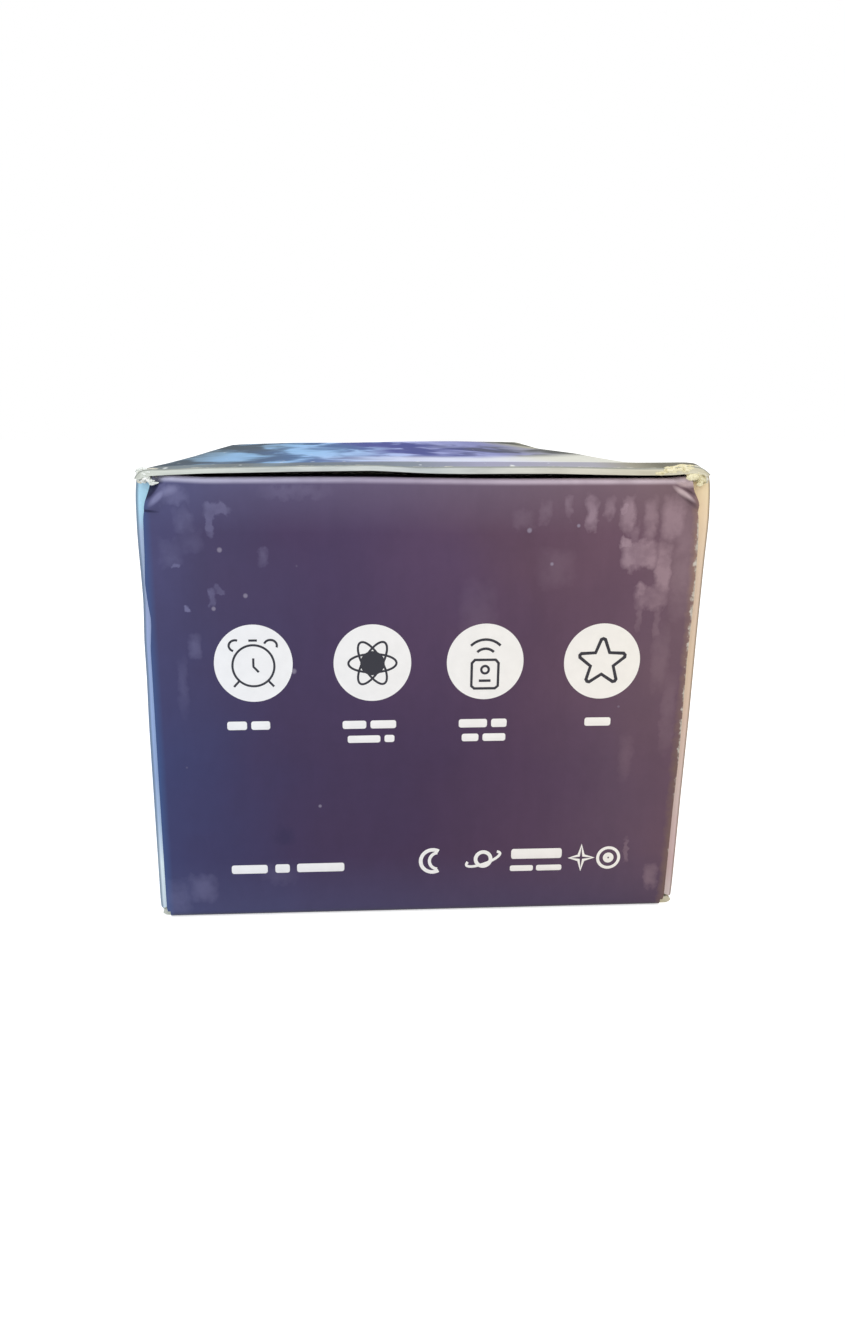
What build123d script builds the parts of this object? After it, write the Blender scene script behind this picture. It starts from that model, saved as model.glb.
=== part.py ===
"""A boxed star night light projector, built as it comes apart on a bench.

The outside is a straight tuck carton of printed micro-flute board that lies on its back panel.
Inside, two folded board cradles hold the projector by its head and by its base.  The projector is a
weighted base with a yoke, in which a round head tilts; the head holds the LEDs, the geared nebula disc
with its motor, and the laser with its star grating.  A small remote control lies under the head, and a
folded leaflet stands behind the base.

Millimetres.  The origin is under the middle of the closed carton, on the surface that it stands on.
+Z is up, -Y is the front end with the printed closure, and +X is to the right of someone facing it.
"""

import os
from math import acos, cos, pi, radians, sin, sqrt, tan

from build123d import *

os.makedirs("parts", exist_ok=True)

# ---------------------------------------------------------------- driving dimensions: carton
board = 1.6  # thickness of the micro-flute board
front_space = 27.0  # from the carton's front end to the top of the projector's head
rear_space = 18.0  # from the projector's feet to the carton's rear end
side_space = 15.0  # from a pivot screw's head to the carton's outside
base_space = 12.0  # from the projector's base to the carton's top and bottom
edge_round = 1.2  # outer radius of the sleeve's long creases
crease_gap = 0.2  # between a flap's rolled crease and the panel it folds from
side_reveal = 2.0  # how much of each side's fold shows beside a closure
flap_clearance = 0.3  # between a closure and the dust flaps behind it
tuck_gap = 1.0  # between a tuck flap and the top panel above it
tuck_length = 18.0
tuck_crease_gap = 0.45  # between the closure's upper crease and the tuck flap
tuck_inset = 2.2  # each side, from the closure's edge
tuck_corner = 8.0
dust_length = 52.0
dust_shoulder = 3.0  # strip beside the crease that reaches up to the top panel
dust_taper = 0.5  # rise of the lower edge per length, so that it clears the falling closure
dust_top_gap = 0.6  # under the tuck flap
dust_top_drop = 5.0  # fall of the upper edge towards the free end
dust_corner = 6.0
glue_flap_height = 20.0
glue_flap_inset = 6.0  # from each end of the carton

# ---------------------------------------------------------------- driving dimensions: cradles and leaflet
cradle_gap = 0.3  # to the carton's sides, glue flap and top
front_cradle_ahead = 25.0  # from the middle of the head forwards to the front cradle's plate
front_wing_length = 70.0
rear_cradle_height = 24.0  # above the feet, where the rear cradle's plate grips the base
rear_wing_length = 37.5
wing_drop = 2.4  # of a wing's top below the glue flap
cradle_hold_gap = 0.3  # round the piece that a cradle's window holds
leaflet_width = 90.0
leaflet_height = 94.0
leaflet_thickness = 1.2

# ---------------------------------------------------------------- driving dimensions: projector base
base_radius = 43.0
neck_radius = 30.0
shell_top = 110.0
shell_wall = 2.2
shell_roof = 2.5
shoulder_round = 5.0
foot_height = 1.5
foot_radius = 6.0
foot_inset = 10.0  # of a foot's middle, from the shell's outside
cover_thickness = 2.2
cover_gap = 0.25
boss_inset = 9.0  # of a screw boss's middle, from the shell's outside
boss_radius = 3.5
boss_height = 18.0
rib_width = 2.0
screw_radius = 1.25
screw_hole_gap = 0.05
screw_pass_gap = 0.25  # round a screw where it passes freely
screw_head_radius = 2.8
screw_head_height = 1.1
screw_length = 12.0
ballast_radius = 16.0
ballast_height = 12.0
ballast_edge = 1.0
pcb = 1.6
control_board_gap = 1.7  # to the shell's wall
control_board_height = 30.0
standoff_ring = 22.0
standoff_radius = 3.0
board_screw_radius = 1.15
board_screw_head = 2.2
board_screw_head_height = 1.2
board_screw_length = 7.0
driver_chip = (9.0, 9.0, 1.4)
driver_chip_spot = (-7.0, 6.0)
regulator_chip = (5.0, 4.0, 1.2)
regulator_chip_spot = (9.0, 2.0)
crystal_can = (4.0, 11.0, 3.2)
crystal_can_spot = (-16.0, -3.0)
capacitor_radius = 3.2
capacitor_height = 8.5
capacitor_spots = ((4.0, -12.0), (-8.0, -10.0))
inlet_width = 9.0
inlet_height = 3.2
inlet_length = 9.2
inlet_wall = 0.35
inlet_back = 1.0
inlet_tongue = (6.6, 0.7)
inlet_corner = 0.8
inlet_overhang = 2.6  # past the control board's rim
inlet_hole_gap = 0.5
button_heights = (52.0, 66.0, 80.0)
button_names = ("power_button", "mode_button", "timer_button")
button_radius = 5.0
button_gap = 0.25
button_proud = 1.0
button_edge = 0.6
button_flange = 6.2
button_flange_thickness = 1.2
button_flange_drop = 2.0  # inside the shell's wall, which curves away from the flange
button_stem = 2.0
button_travel = 0.6
button_play = 0.1  # left between stem and switch when pressed
switch_size = 6.0
switch_height = 3.5
plunger_radius = 1.7
plunger_height = 1.0
button_board_level = 16.0  # from the projector's axis to the board's inner face
button_board_width = 16.0
button_boss_gap = 0.8  # between a button's flange and the nearest boss
button_board_end = 1.0  # past the bosses that carry the button board
window_height = 99.0
window_radius = 3.0
window_gap = 0.05
window_proud = 0.3
window_edge = 0.5

# ---------------------------------------------------------------- driving dimensions: yoke and head
head_radius = 40.0
head_clearance = 6.0  # above the yoke's base
head_wall = 2.2
yoke_base = 4.0
yoke_arm = 4.4
yoke_width = 18.0
yoke_clearance = 2.6  # between the head's sphere and an arm
yoke_corner = 8.0
yoke_inner_corner = 3.0
yoke_screw_spacing = 28.0
wire_hole = 4.0
pivot_boss_radius = 7.0
pivot_boss_gap = 0.3
pivot_boss_depth = 4.0  # inside the head's sphere
pivot_pin_radius = 3.0
pivot_running_gap = 0.05
pivot_pin_end = 0.5  # short of the boss's inner end
pivot_head_radius = 7.0
pivot_head_height = 3.0
pivot_slot = 1.4
split_rise = 8.0  # of the joint between the head's two shells above the pivots
lens_radius = 27.0
lens_gap = 0.3
lens_wall = 2.0
lens_sink = 0.4  # of the dome under the head's sphere, so that it never catches
retainer_lip = 2.0
retainer_gap = 0.2
retainer_drop = 3.2
bracket_thickness = 2.2
bracket_gap = 0.3
bracket_screw_gap = 2.8  # from a bracket screw's head to the upper shell
bracket_post_radius = 3.2
bracket_post_height = 18.0
led_ring = 8.0
led_window = 4.0
led_radius = 2.2
led_collar = 0.8
led_motor_gap = 3.1  # from the LED board and its heat sink to the motor's can
led_standoff_inset = 3.0  # of a standoff's middle, from the LED board's rim
led_standoff_radius = 2.0
led_standoff_height = 4.4
sink_base = 2.5
sink_height = 12.0
sink_fin = 1.2
sink_pitch = 3.6
hub_radius = 2.6
hub_height = 2.2
axle_radius = 1.5
axle_gap = 0.05
axle_head_height = 1.3
tooth_module = 0.8
pinion_teeth = 16
pinion_shell_gap = 1.0  # from the pinion's teeth to the upper shell
backlash = 0.16
disc_thickness = 2.0
disc_hub_radius = 3.5
disc_hub_height = 4.0
disc_side_gap = 0.1
gear_angle = 30.0  # direction of the motor from the head's axis
motor_radius = 6.0
motor_height = 16.0
shaft_radius = 1.0
shaft_gap = 0.1
shaft_hole = 2.0
shaft_length = 15.5
shaft_sink = 7.0  # in the motor's can
pinion_height = 2.8
laser_disc_gap = 0.4  # from the laser's flange to the nebula disc's teeth
laser_angle = 150.0
laser_radius = 3.2
laser_below = 14.0
laser_above = 4.8
laser_flange = 4.2
laser_flange_height = 1.2
laser_hole_gap = 0.2
grating_radius = 2.6
grating_thickness = 0.8

# ---------------------------------------------------------------- driving dimensions: remote control
remote_width = 40.0
remote_length = 86.0
remote_depth = 20.0  # from the carton's front end to the remote's near end
remote_corner = 6.0
remote_wall = 1.0
remote_edge = 0.7
remote_floor = 0.8
remote_play = 0.1  # between stacked pieces inside
remote_board_thickness = 0.8
remote_post = 1.5
remote_notch_gap = 0.6
key_rows = 2
key_columns = 2
key_pitch_x = 18.0
key_pitch_y = 13.0
key_first = 9.0  # from the remote's near end to the first row
key_radius = 3.6
key_gap = 0.15
key_flange = 4.4
key_flange_thickness = 0.7
key_travel = 0.5
key_proud = 0.4
key_edge = 0.4
remote_led_radius = 1.0
remote_led_gap = 0.05
remote_led_length = 4.8
remote_led_proud = 0.4
drawer_width = 24.0
drawer_length = 25.0
drawer_floor = 0.4
drawer_gap = 0.2
drawer_lip = 1.0
cell_radius = 10.0
cell_thickness = 2.5
cell_gap = 0.1
cell_edge = 0.3

# ---------------------------------------------------------------- places worked out from them
arm_inner = head_radius + yoke_clearance
arm_outer = arm_inner + yoke_arm
pivot_height = shell_top + yoke_base + head_clearance + head_radius
split_height = pivot_height + split_rise

carton_width = 2 * (arm_outer + pivot_head_height + side_space)
carton_height = 2 * (base_radius + base_space)
carton_length = front_space + pivot_height + head_radius + rear_space
half_width = carton_width / 2
half_length = carton_length / 2
inner_top = carton_height - board
axis_z = carton_height / 2
base_depth = carton_length - rear_space
base_y = base_depth - half_length
standing = (Align.CENTER, Align.CENTER, Align.MIN)
hanging = (Align.CENTER, Align.CENTER, Align.MAX)

# The projector's own upright frame: its height runs towards the carton's front.
stand = Plane(origin=(0, base_y, axis_z), x_dir=(1, 0, 0), z_dir=(0, -1, 0))
section = Plane(origin=(0, base_y, axis_z), x_dir=(1, 0, 0), z_dir=(0, 0, -1))
upright = Axis(stand.origin, stand.z_dir)


def save(part, name):
    """Labels a finished piece and writes it as parts/NAME.step."""
    part.label = name
    export_step(part, f"parts/{name}.step")


def slab(x, y, z, mode=Mode.ADD):
    """Adds a box that runs between two values on each axis to the part being built."""
    spans = [sorted(span) for span in (x, y, z)]
    with Locations(tuple(sum(span) / 2 for span in spans)):
        Box(*[span[1] - span[0] for span in spans], mode=mode)


def shell_radius(height):
    """Outer radius of the base's tapered shell at a height above the feet."""
    share = (height - foot_height) / (shell_top - foot_height)
    return base_radius + (neck_radius - base_radius) * share


def sphere_radius(radius, height):
    """Radius of the head's round section at a height, for a sphere of that radius."""
    return sqrt(radius**2 - (height - pivot_height) ** 2)


def sphere_height(radius, offset):
    """Height of the head's upper half at an offset from its axis, for a sphere of that radius."""
    return pivot_height + sqrt(radius**2 - offset**2)


def from_front(depth):
    """World Y of a depth behind the carton's front end."""
    return depth - half_length


# ================================================================ carton
sleeve_start = board + crease_gap
side_start = board + flap_clearance + board + crease_gap

with BuildPart() as bottom_panel:
    slab((-half_width, half_width), (sleeve_start - half_length, half_length - sleeve_start), (0, board))
    fillet(bottom_panel.edges().filter_by(Axis.Y).group_by(Axis.Z)[0], edge_round)
save(bottom_panel.part, "bottom_panel")

with BuildPart() as top_panel:
    slab((-half_width, half_width), (-half_length, half_length), (inner_top, carton_height))
    fillet(top_panel.edges().filter_by(Axis.Y).group_by(Axis.Z)[-1], edge_round)
save(top_panel.part, "top_panel")

for side, name in ((-1, "left_panel"), (1, "right_panel")):
    with BuildPart() as side_panel:
        slab(
            (side * half_width, side * (half_width - board)),
            (side_start - half_length, half_length - side_start),
            (board, inner_top),
        )
    save(side_panel.part, name)

glue_face = half_width - board
with BuildPart() as glue_flap:
    slab(
        (-glue_face, board - glue_face),
        (glue_flap_inset - half_length, half_length - glue_flap_inset),
        (inner_top - glue_flap_height, inner_top),
    )
save(glue_flap.part, "glue_flap")

closure_top = inner_top - tuck_gap
closure_half = half_width - side_reveal
roll = board / 2  # radius of a rolled crease, which turns about its own centre
dust_axis_depth = board + flap_clearance + roll
dust_axis_x = half_width - roll

for end, word in ((-1, "front"), (1, "rear")):

    def depth(inwards):
        """World Y of a depth behind this end's outer face."""
        return end * (half_length - inwards)

    with BuildPart() as closure:
        slab((-closure_half, closure_half), (depth(0), depth(board)), (roll, closure_top - roll))
        for crease_z in (roll, closure_top - roll):
            with Locations(Location((0, depth(roll), crease_z), (0, 90, 0))):
                Cylinder(roll, 2 * closure_half)
    save(closure.part, f"{word}_closure")

    tuck_half = closure_half - tuck_inset
    with BuildPart() as tuck_flap:
        slab(
            (-tuck_half, tuck_half),
            (depth(board + tuck_crease_gap), depth(board + tuck_crease_gap + tuck_length)),
            (closure_top - board, closure_top),
        )
        free_edges = tuck_flap.edges().filter_by(Axis.Z).sort_by(Axis.Y, reverse=end > 0)[-2:]
        fillet(free_edges, tuck_corner)
        under_edges = tuck_flap.edges().filter_by(Axis.X).group_by(Axis.Z)[0]
        chamfer(under_edges.sort_by(Axis.Y, reverse=end > 0)[0], roll - crease_gap / 4)
    save(tuck_flap.part, f"{word}_tuck_flap")

    for side, hand in ((-1, "left"), (1, "right")):
        tip = dust_axis_x - dust_length
        hinge_low = board + crease_gap
        hinge_high = inner_top - flap_clearance
        top = closure_top - board - dust_top_gap
        with BuildPart() as dust_flap:
            with BuildSketch(Plane.XZ.offset(-depth(dust_axis_depth))) as outline:
                with BuildLine():
                    Polyline(
                        (side * dust_axis_x, hinge_low),
                        (side * tip, hinge_low + dust_taper * dust_length),
                        (side * tip, top - dust_top_drop),
                        (side * (dust_axis_x - dust_shoulder), top),
                        (side * (dust_axis_x - dust_shoulder), hinge_high),
                        (side * dust_axis_x, hinge_high),
                        close=True,
                    )
                make_face()
                free_corners = outline.vertices().filter_by(lambda v: abs(v.X - side * tip) < board)
                fillet(free_corners, dust_corner)
            extrude(amount=roll, both=True)
            with Locations((side * dust_axis_x, depth(dust_axis_depth), hinge_low)):
                Cylinder(roll, hinge_high - hinge_low, align=standing)
        save(dust_flap.part, f"{word}_{hand}_dust_flap")

# ================================================================ cradles and leaflet
cradle_half = half_width - board - cradle_gap
cradle_neck = cradle_half - board
cradle_top = inner_top - cradle_gap
wing_top = inner_top - glue_flap_height - wing_drop
head_depth = base_depth - pivot_height
front_cradle_depth = head_depth - front_cradle_ahead
front_plate_back = front_cradle_depth + board
rear_cradle_depth = base_depth - rear_cradle_height
front_window = sqrt(head_radius**2 - (head_depth - front_plate_back) ** 2) + cradle_hold_gap
rear_window = shell_radius(base_depth - rear_cradle_depth - board) + cradle_hold_gap
drawer_thickness = drawer_floor + cell_thickness
remote_lower = remote_floor + drawer_gap + drawer_thickness + drawer_gap
remote_stack = remote_board_thickness + key_travel + key_flange_thickness + 2 * remote_play
remote_upper = remote_stack + remote_wall
remote_top = board + remote_lower + remote_upper + key_proud
notch_half = remote_width / 2 + remote_notch_gap


def build_cradle(plate_depth, wing_length, window):
    """A board plate with a round window and two wings folded back along the carton's sides."""
    with BuildPart() as cradle:
        with BuildSketch(Plane.XZ.offset(-from_front(plate_depth))) as plate:
            with Locations((0, board)):
                Rectangle(2 * cradle_half, wing_top - board, align=(Align.CENTER, Align.MIN))
                Rectangle(2 * cradle_neck, cradle_top - board, align=(Align.CENTER, Align.MIN))
            with Locations((0, axis_z)):
                Circle(window, mode=Mode.SUBTRACT)
        extrude(amount=-board)
        for side in (-1, 1):
            slab(
                (side * cradle_half, side * (cradle_half - board)),
                (from_front(plate_depth), from_front(plate_depth + wing_length)),
                (board, wing_top),
            )
    return cradle.part


with BuildPart() as front_cradle:
    add(build_cradle(front_cradle_depth, front_wing_length, front_window))
    slab(
        (-notch_half, notch_half),
        (from_front(front_cradle_depth), from_front(front_plate_back)),
        (board, remote_top + remote_notch_gap),
        mode=Mode.SUBTRACT,
    )
save(front_cradle.part, "front_cradle")

save(build_cradle(rear_cradle_depth, rear_wing_length, rear_window), "rear_cradle")

with BuildPart() as leaflet:
    slab(
        (-leaflet_width / 2, leaflet_width / 2),
        (base_y, base_y + leaflet_thickness),
        (board, board + leaflet_height),
    )
save(leaflet.part, "instruction_leaflet")

# ================================================================ projector base
cover_top = foot_height + cover_thickness
foot_ring = base_radius - foot_inset
boss_ring = base_radius - boss_inset
control_board_top = control_board_height + pcb
control_board_radius = shell_radius(control_board_top) - shell_wall - control_board_gap
button_tops = [shell_radius(height) + button_proud for height in button_heights]
switch_level = button_board_level + pcb
stem_level = switch_level + switch_height + plunger_height + button_travel + button_play
button_boss_reach = button_flange + button_boss_gap + standoff_radius
button_boss_heights = (button_heights[0] - button_boss_reach, button_heights[-1] + button_boss_reach)

with BuildPart(stand) as base_shell:
    with BuildSketch(section):
        with BuildLine():
            Polyline(
                (0, shell_top),
                (neck_radius, shell_top),
                (base_radius, foot_height),
                (base_radius - shell_wall, foot_height),
                (neck_radius - shell_wall, shell_top - shell_roof),
                (0, shell_top - shell_roof),
                close=True,
            )
        make_face()
    revolve(axis=upright)
    rim = base_shell.edges().filter_by(GeomType.CIRCLE)
    fillet(rim.filter_by(lambda e: abs(e.radius - neck_radius) < 0.01), shoulder_round)
    rib_reach = shell_radius(cover_top + boss_height) - shell_wall / 2
    with Locations((0, 0, cover_top)):
        with PolarLocations(boss_ring, 4, start_angle=45):
            Cylinder(boss_radius, boss_height, align=standing)
        with PolarLocations((boss_ring + rib_reach) / 2, 4, start_angle=45):
            Box(rib_reach - boss_ring, rib_width, boss_height, align=standing)
        with PolarLocations(boss_ring, 4, start_angle=45):
            Cylinder(screw_radius + screw_hole_gap, screw_length, align=standing, mode=Mode.SUBTRACT)
    for height in button_boss_heights:
        with Locations(Location((0, switch_level, height), (-90, 0, 0))):
            boss_end = shell_radius(height) - shell_wall / 2
            Cylinder(standoff_radius, boss_end - switch_level, align=standing)
            Cylinder(
                board_screw_radius + screw_hole_gap, board_screw_length, align=standing, mode=Mode.SUBTRACT
            )
    with BuildSketch(Plane.XY.offset(axis_z + switch_level)):
        with Locations(*[(0, base_y - height) for height in button_heights]):
            Circle(button_radius + button_gap)
        with Locations((0, base_y - window_height)):
            Circle(window_radius + window_gap)
    extrude(amount=base_radius, mode=Mode.SUBTRACT)
    with Locations((0, -control_board_radius, control_board_top + inlet_height / 2)):
        Box(
            inlet_width + 2 * inlet_hole_gap,
            inlet_length,
            inlet_height + 2 * inlet_hole_gap,
            mode=Mode.SUBTRACT,
        )
    with Locations((0, 0, shell_top)):
        with GridLocations(yoke_screw_spacing, 1, 2, 1):
            Cylinder(screw_radius + screw_hole_gap, shell_roof, align=hanging, mode=Mode.SUBTRACT)
        Cylinder(wire_hole, shell_roof, align=hanging, mode=Mode.SUBTRACT)
save(base_shell.part, "base_shell")

cover_radius = shell_radius(cover_top) - shell_wall - cover_gap
with BuildPart(stand) as base_cover:
    with Locations((0, 0, foot_height)):
        Cylinder(cover_radius, cover_thickness, align=standing)
    with Locations((0, 0, cover_top)):
        with PolarLocations(standoff_ring, 3, start_angle=30):
            Cylinder(standoff_radius, control_board_height - cover_top, align=standing)
    with Locations((0, 0, control_board_height)):
        with PolarLocations(standoff_ring, 3, start_angle=30):
            Cylinder(
                board_screw_radius + screw_hole_gap,
                board_screw_length,
                align=hanging,
                mode=Mode.SUBTRACT,
            )
    with Locations((0, 0, foot_height)):
        with PolarLocations(boss_ring, 4, start_angle=45):
            Cylinder(screw_radius + screw_pass_gap, cover_thickness, align=standing, mode=Mode.SUBTRACT)
            Cylinder(
                screw_head_radius + screw_pass_gap,
                screw_head_height,
                align=standing,
                mode=Mode.SUBTRACT,
            )
save(base_cover.part, "base_cover")

with BuildPart(stand) as base_feet:
    with PolarLocations(foot_ring, 4):
        Cylinder(foot_radius, foot_height, align=standing)
save(base_feet.part, "base_feet")

seat = foot_height + screw_head_height
with BuildPart(stand) as housing_screws:
    with Locations((0, 0, seat)):
        with PolarLocations(boss_ring, 4, start_angle=45):
            Cylinder(screw_head_radius, screw_head_height, align=hanging)
            Cylinder(screw_radius, screw_length, align=standing)
    with Locations((0, 0, shell_top - shell_roof)):
        with GridLocations(yoke_screw_spacing, 1, 2, 1):
            Cylinder(screw_head_radius, screw_head_height, align=hanging)
            Cylinder(screw_radius, shell_roof + yoke_base - screw_head_height, align=standing)
save(housing_screws.part, "housing_screws")

with BuildPart(stand) as ballast_weight:
    with Locations((0, 0, cover_top)):
        Cylinder(ballast_radius, ballast_height, align=standing)
    chamfer(ballast_weight.edges().group_by(Axis.Y)[0], ballast_edge)
save(ballast_weight.part, "ballast_weight")

with BuildPart(stand) as control_board:
    with Locations((0, 0, control_board_height)):
        Cylinder(control_board_radius, pcb, align=standing)
        with PolarLocations(standoff_ring, 3, start_angle=30):
            Cylinder(board_screw_radius + screw_hole_gap, pcb, align=standing, mode=Mode.SUBTRACT)
save(control_board.part, "control_board")

with BuildPart(stand) as board_components:
    with Locations((0, 0, control_board_top)):
        with Locations(driver_chip_spot):
            Box(*driver_chip, align=standing)
        with Locations(regulator_chip_spot):
            Box(*regulator_chip, align=standing)
        with Locations(crystal_can_spot):
            Box(*crystal_can, align=standing)
        with Locations(*capacitor_spots):
            Cylinder(capacitor_radius, capacitor_height, align=standing)
save(board_components.part, "board_components")

with BuildPart(stand) as board_screws:
    with Locations((0, 0, control_board_top)):
        with PolarLocations(standoff_ring, 3, start_angle=30):
            Cylinder(board_screw_head, board_screw_head_height, align=standing)
            Cylinder(board_screw_radius, board_screw_length, align=hanging)
    for height in button_boss_heights:
        with Locations(Location((0, button_board_level, height), (-90, 0, 0))):
            Cylinder(board_screw_head, board_screw_head_height, align=hanging)
            Cylinder(board_screw_radius, board_screw_length, align=standing)
save(board_screws.part, "board_screws")

inlet_middle = inlet_length / 2 - inlet_overhang - control_board_radius
with BuildPart(stand) as power_inlet:
    with Locations((0, inlet_middle, control_board_top)):
        Box(inlet_width, inlet_length, inlet_height, align=standing)
    fillet(power_inlet.edges().filter_by(Axis.Z), inlet_corner)
    with Locations((0, inlet_middle - inlet_back, control_board_top + inlet_height / 2)):
        Box(
            inlet_width - 2 * inlet_wall,
            inlet_length,
            inlet_height - 2 * inlet_wall,
            mode=Mode.SUBTRACT,
        )
    with Locations((0, inlet_middle + inlet_back, control_board_top + inlet_height / 2)):
        Box(inlet_tongue[0], inlet_length - 2 * inlet_back, inlet_tongue[1])
save(power_inlet.part, "power_inlet")

with BuildPart() as receiver_window:
    outer = shell_radius(window_height)
    with Locations((0, base_y - window_height, axis_z + outer - 2 * shell_wall)):
        Cylinder(window_radius, 2 * shell_wall + window_proud, align=standing)
    fillet(receiver_window.edges().group_by(Axis.Z)[-1], window_edge)
save(receiver_window.part, "receiver_window")

with BuildPart() as button_board:
    slab(
        (-button_board_width / 2, button_board_width / 2),
        (
            base_y - button_boss_heights[0] + standoff_radius + button_board_end,
            base_y - button_boss_heights[1] - standoff_radius - button_board_end,
        ),
        (axis_z + button_board_level, axis_z + switch_level),
    )
    with Locations(*[(0, base_y - height, axis_z + switch_level) for height in button_boss_heights]):
        Cylinder(board_screw_radius + screw_hole_gap, pcb, align=hanging, mode=Mode.SUBTRACT)
save(button_board.part, "button_board")

with BuildPart() as button_switches:
    with Locations(*[(0, base_y - height, axis_z + switch_level) for height in button_heights]):
        Box(switch_size, switch_size, switch_height, align=standing)
        Cylinder(plunger_radius, switch_height + plunger_height, align=standing)
save(button_switches.part, "button_switches")

for name, height, top in zip(button_names, button_heights, button_tops):
    flange_top = shell_radius(height) - shell_wall - button_flange_drop
    with BuildPart() as push_button:
        with Locations((0, base_y - height, axis_z + flange_top)):
            Cylinder(button_radius, top - flange_top, align=standing)
            Cylinder(button_flange, button_flange_thickness, align=hanging)
        with Locations((0, base_y - height, axis_z + stem_level)):
            Cylinder(button_stem, flange_top - stem_level, align=standing)
        fillet(push_button.edges().group_by(Axis.Z)[-1], button_edge)
    save(push_button.part, name)

# ================================================================ yoke
with BuildPart(stand) as yoke:
    with BuildSketch(section) as strap:
        with BuildLine():
            Polyline(
                (-arm_outer, shell_top),
                (arm_outer, shell_top),
                (arm_outer, pivot_height),
                (arm_inner, pivot_height),
                (arm_inner, shell_top + yoke_base),
                (-arm_inner, shell_top + yoke_base),
                (-arm_inner, pivot_height),
                (-arm_outer, pivot_height),
                close=True,
            )
        make_face()
        fillet(strap.vertices().filter_by(lambda v: v.Y < shell_top + 0.1), yoke_corner)
        fillet(
            strap.vertices().filter_by(lambda v: abs(v.Y - shell_top - yoke_base) < 0.1),
            yoke_inner_corner,
        )
    extrude(amount=yoke_width / 2, both=True)
    for side in (-1, 1):
        middle = side * (arm_inner + arm_outer) / 2
        with Locations(Location((middle, 0, pivot_height), (0, 90, 0))):
            Cylinder(yoke_width / 2, yoke_arm)
            Cylinder(pivot_pin_radius + pivot_running_gap, yoke_arm, mode=Mode.SUBTRACT)
    with Locations((0, 0, shell_top)):
        with GridLocations(yoke_screw_spacing, 1, 2, 1):
            Cylinder(
                screw_radius + screw_hole_gap,
                yoke_base - screw_head_height + screw_hole_gap,
                align=standing,
                mode=Mode.SUBTRACT,
            )
        Cylinder(wire_hole, yoke_base, align=standing, mode=Mode.SUBTRACT)
save(yoke.part, "yoke")

boss_inner = head_radius - pivot_boss_depth
with BuildPart(stand) as pivot_screws:
    for side in (-1, 1):
        with Locations(Location((side * arm_outer, 0, pivot_height), (0, side * 90, 0))):
            Cylinder(pivot_head_radius, pivot_head_height, align=standing)
            Cylinder(pivot_pin_radius, arm_outer - boss_inner - pivot_pin_end, align=hanging)
        with Locations((side * (arm_outer + pivot_head_height), 0, pivot_height)):
            Box(pivot_slot, pivot_slot, 2 * pivot_head_radius, mode=Mode.SUBTRACT)
save(pivot_screws.part, "pivot_screws")

# ================================================================ head
head_centre = (0, 0, pivot_height)
bracket_top = split_height + bracket_thickness
shell_inner = head_radius - head_wall
screw_head_top = bracket_top + board_screw_head_height
bracket_post_ring = sphere_radius(shell_inner, screw_head_top) - board_screw_head - bracket_screw_gap
hub_top = bracket_top + hub_height
disc_bottom = hub_top + disc_side_gap
disc_top = disc_bottom + disc_hub_height
gear_reach = sphere_radius(shell_inner, disc_top) - pinion_shell_gap
disc_teeth = 2 * int(gear_reach / tooth_module - pinion_teeth - 1)
laser_ring = tooth_module * (disc_teeth / 2 + 1) + laser_disc_gap + laser_flange
motor_ring = tooth_module * (disc_teeth + pinion_teeth) / 2
motor_spot = (motor_ring * cos(radians(gear_angle)), motor_ring * sin(radians(gear_angle)))
led_board_radius = motor_ring - motor_radius - led_motor_gap
led_standoff_ring = led_board_radius - led_standoff_inset
laser_spot = (laser_ring * cos(radians(laser_angle)), laser_ring * sin(radians(laser_angle)))

with BuildPart(stand) as head_lower_shell:
    with Locations(head_centre):
        Sphere(head_radius)
        Sphere(head_radius - head_wall, mode=Mode.SUBTRACT)
    split(bisect_by=stand.offset(split_height), keep=Keep.BOTTOM)
    for side in (-1, 1):
        with Locations(Location((side * boss_inner, 0, pivot_height), (0, side * 90, 0))):
            Cylinder(pivot_boss_radius, arm_inner - pivot_boss_gap - boss_inner, align=standing)
            Cylinder(
                pivot_pin_radius + pivot_running_gap,
                arm_inner - boss_inner,
                align=standing,
                mode=Mode.SUBTRACT,
            )
    post_reach = sphere_radius(head_radius, split_height - bracket_post_height) - head_wall / 4
    with Locations((0, 0, split_height)):
        with PolarLocations(bracket_post_ring, 3, start_angle=90):
            Cylinder(bracket_post_radius, bracket_post_height, align=hanging)
        with PolarLocations((bracket_post_ring + post_reach) / 2, 3, start_angle=90):
            Box(post_reach - bracket_post_ring, rib_width, bracket_post_height, align=hanging)
        with PolarLocations(bracket_post_ring, 3, start_angle=90):
            Cylinder(
                board_screw_radius + screw_hole_gap,
                board_screw_length,
                align=hanging,
                mode=Mode.SUBTRACT,
            )
    with Locations((0, 0, pivot_height - head_radius)):
        Cylinder(wire_hole, 2 * head_wall, mode=Mode.SUBTRACT)
save(head_lower_shell.part, "head_lower_shell")

with BuildPart(stand) as head_upper_shell:
    with Locations(head_centre):
        Sphere(head_radius)
        Sphere(head_radius - head_wall, mode=Mode.SUBTRACT)
    split(bisect_by=stand.offset(split_height), keep=Keep.TOP)
    with Locations((0, 0, split_height)):
        Cylinder(lens_radius + lens_gap, head_radius, align=standing, mode=Mode.SUBTRACT)
save(head_upper_shell.part, "head_upper_shell")

dome_outer = head_radius - lens_sink
dome_inner = dome_outer - lens_wall
with BuildPart(stand) as lens_dome:
    with Locations(head_centre):
        Sphere(dome_outer)
        Sphere(dome_inner, mode=Mode.SUBTRACT)
    with Locations((0, 0, split_height)):
        Cylinder(lens_radius, head_radius, align=standing, mode=Mode.INTERSECT)
save(lens_dome.part, "lens_dome")

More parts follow.
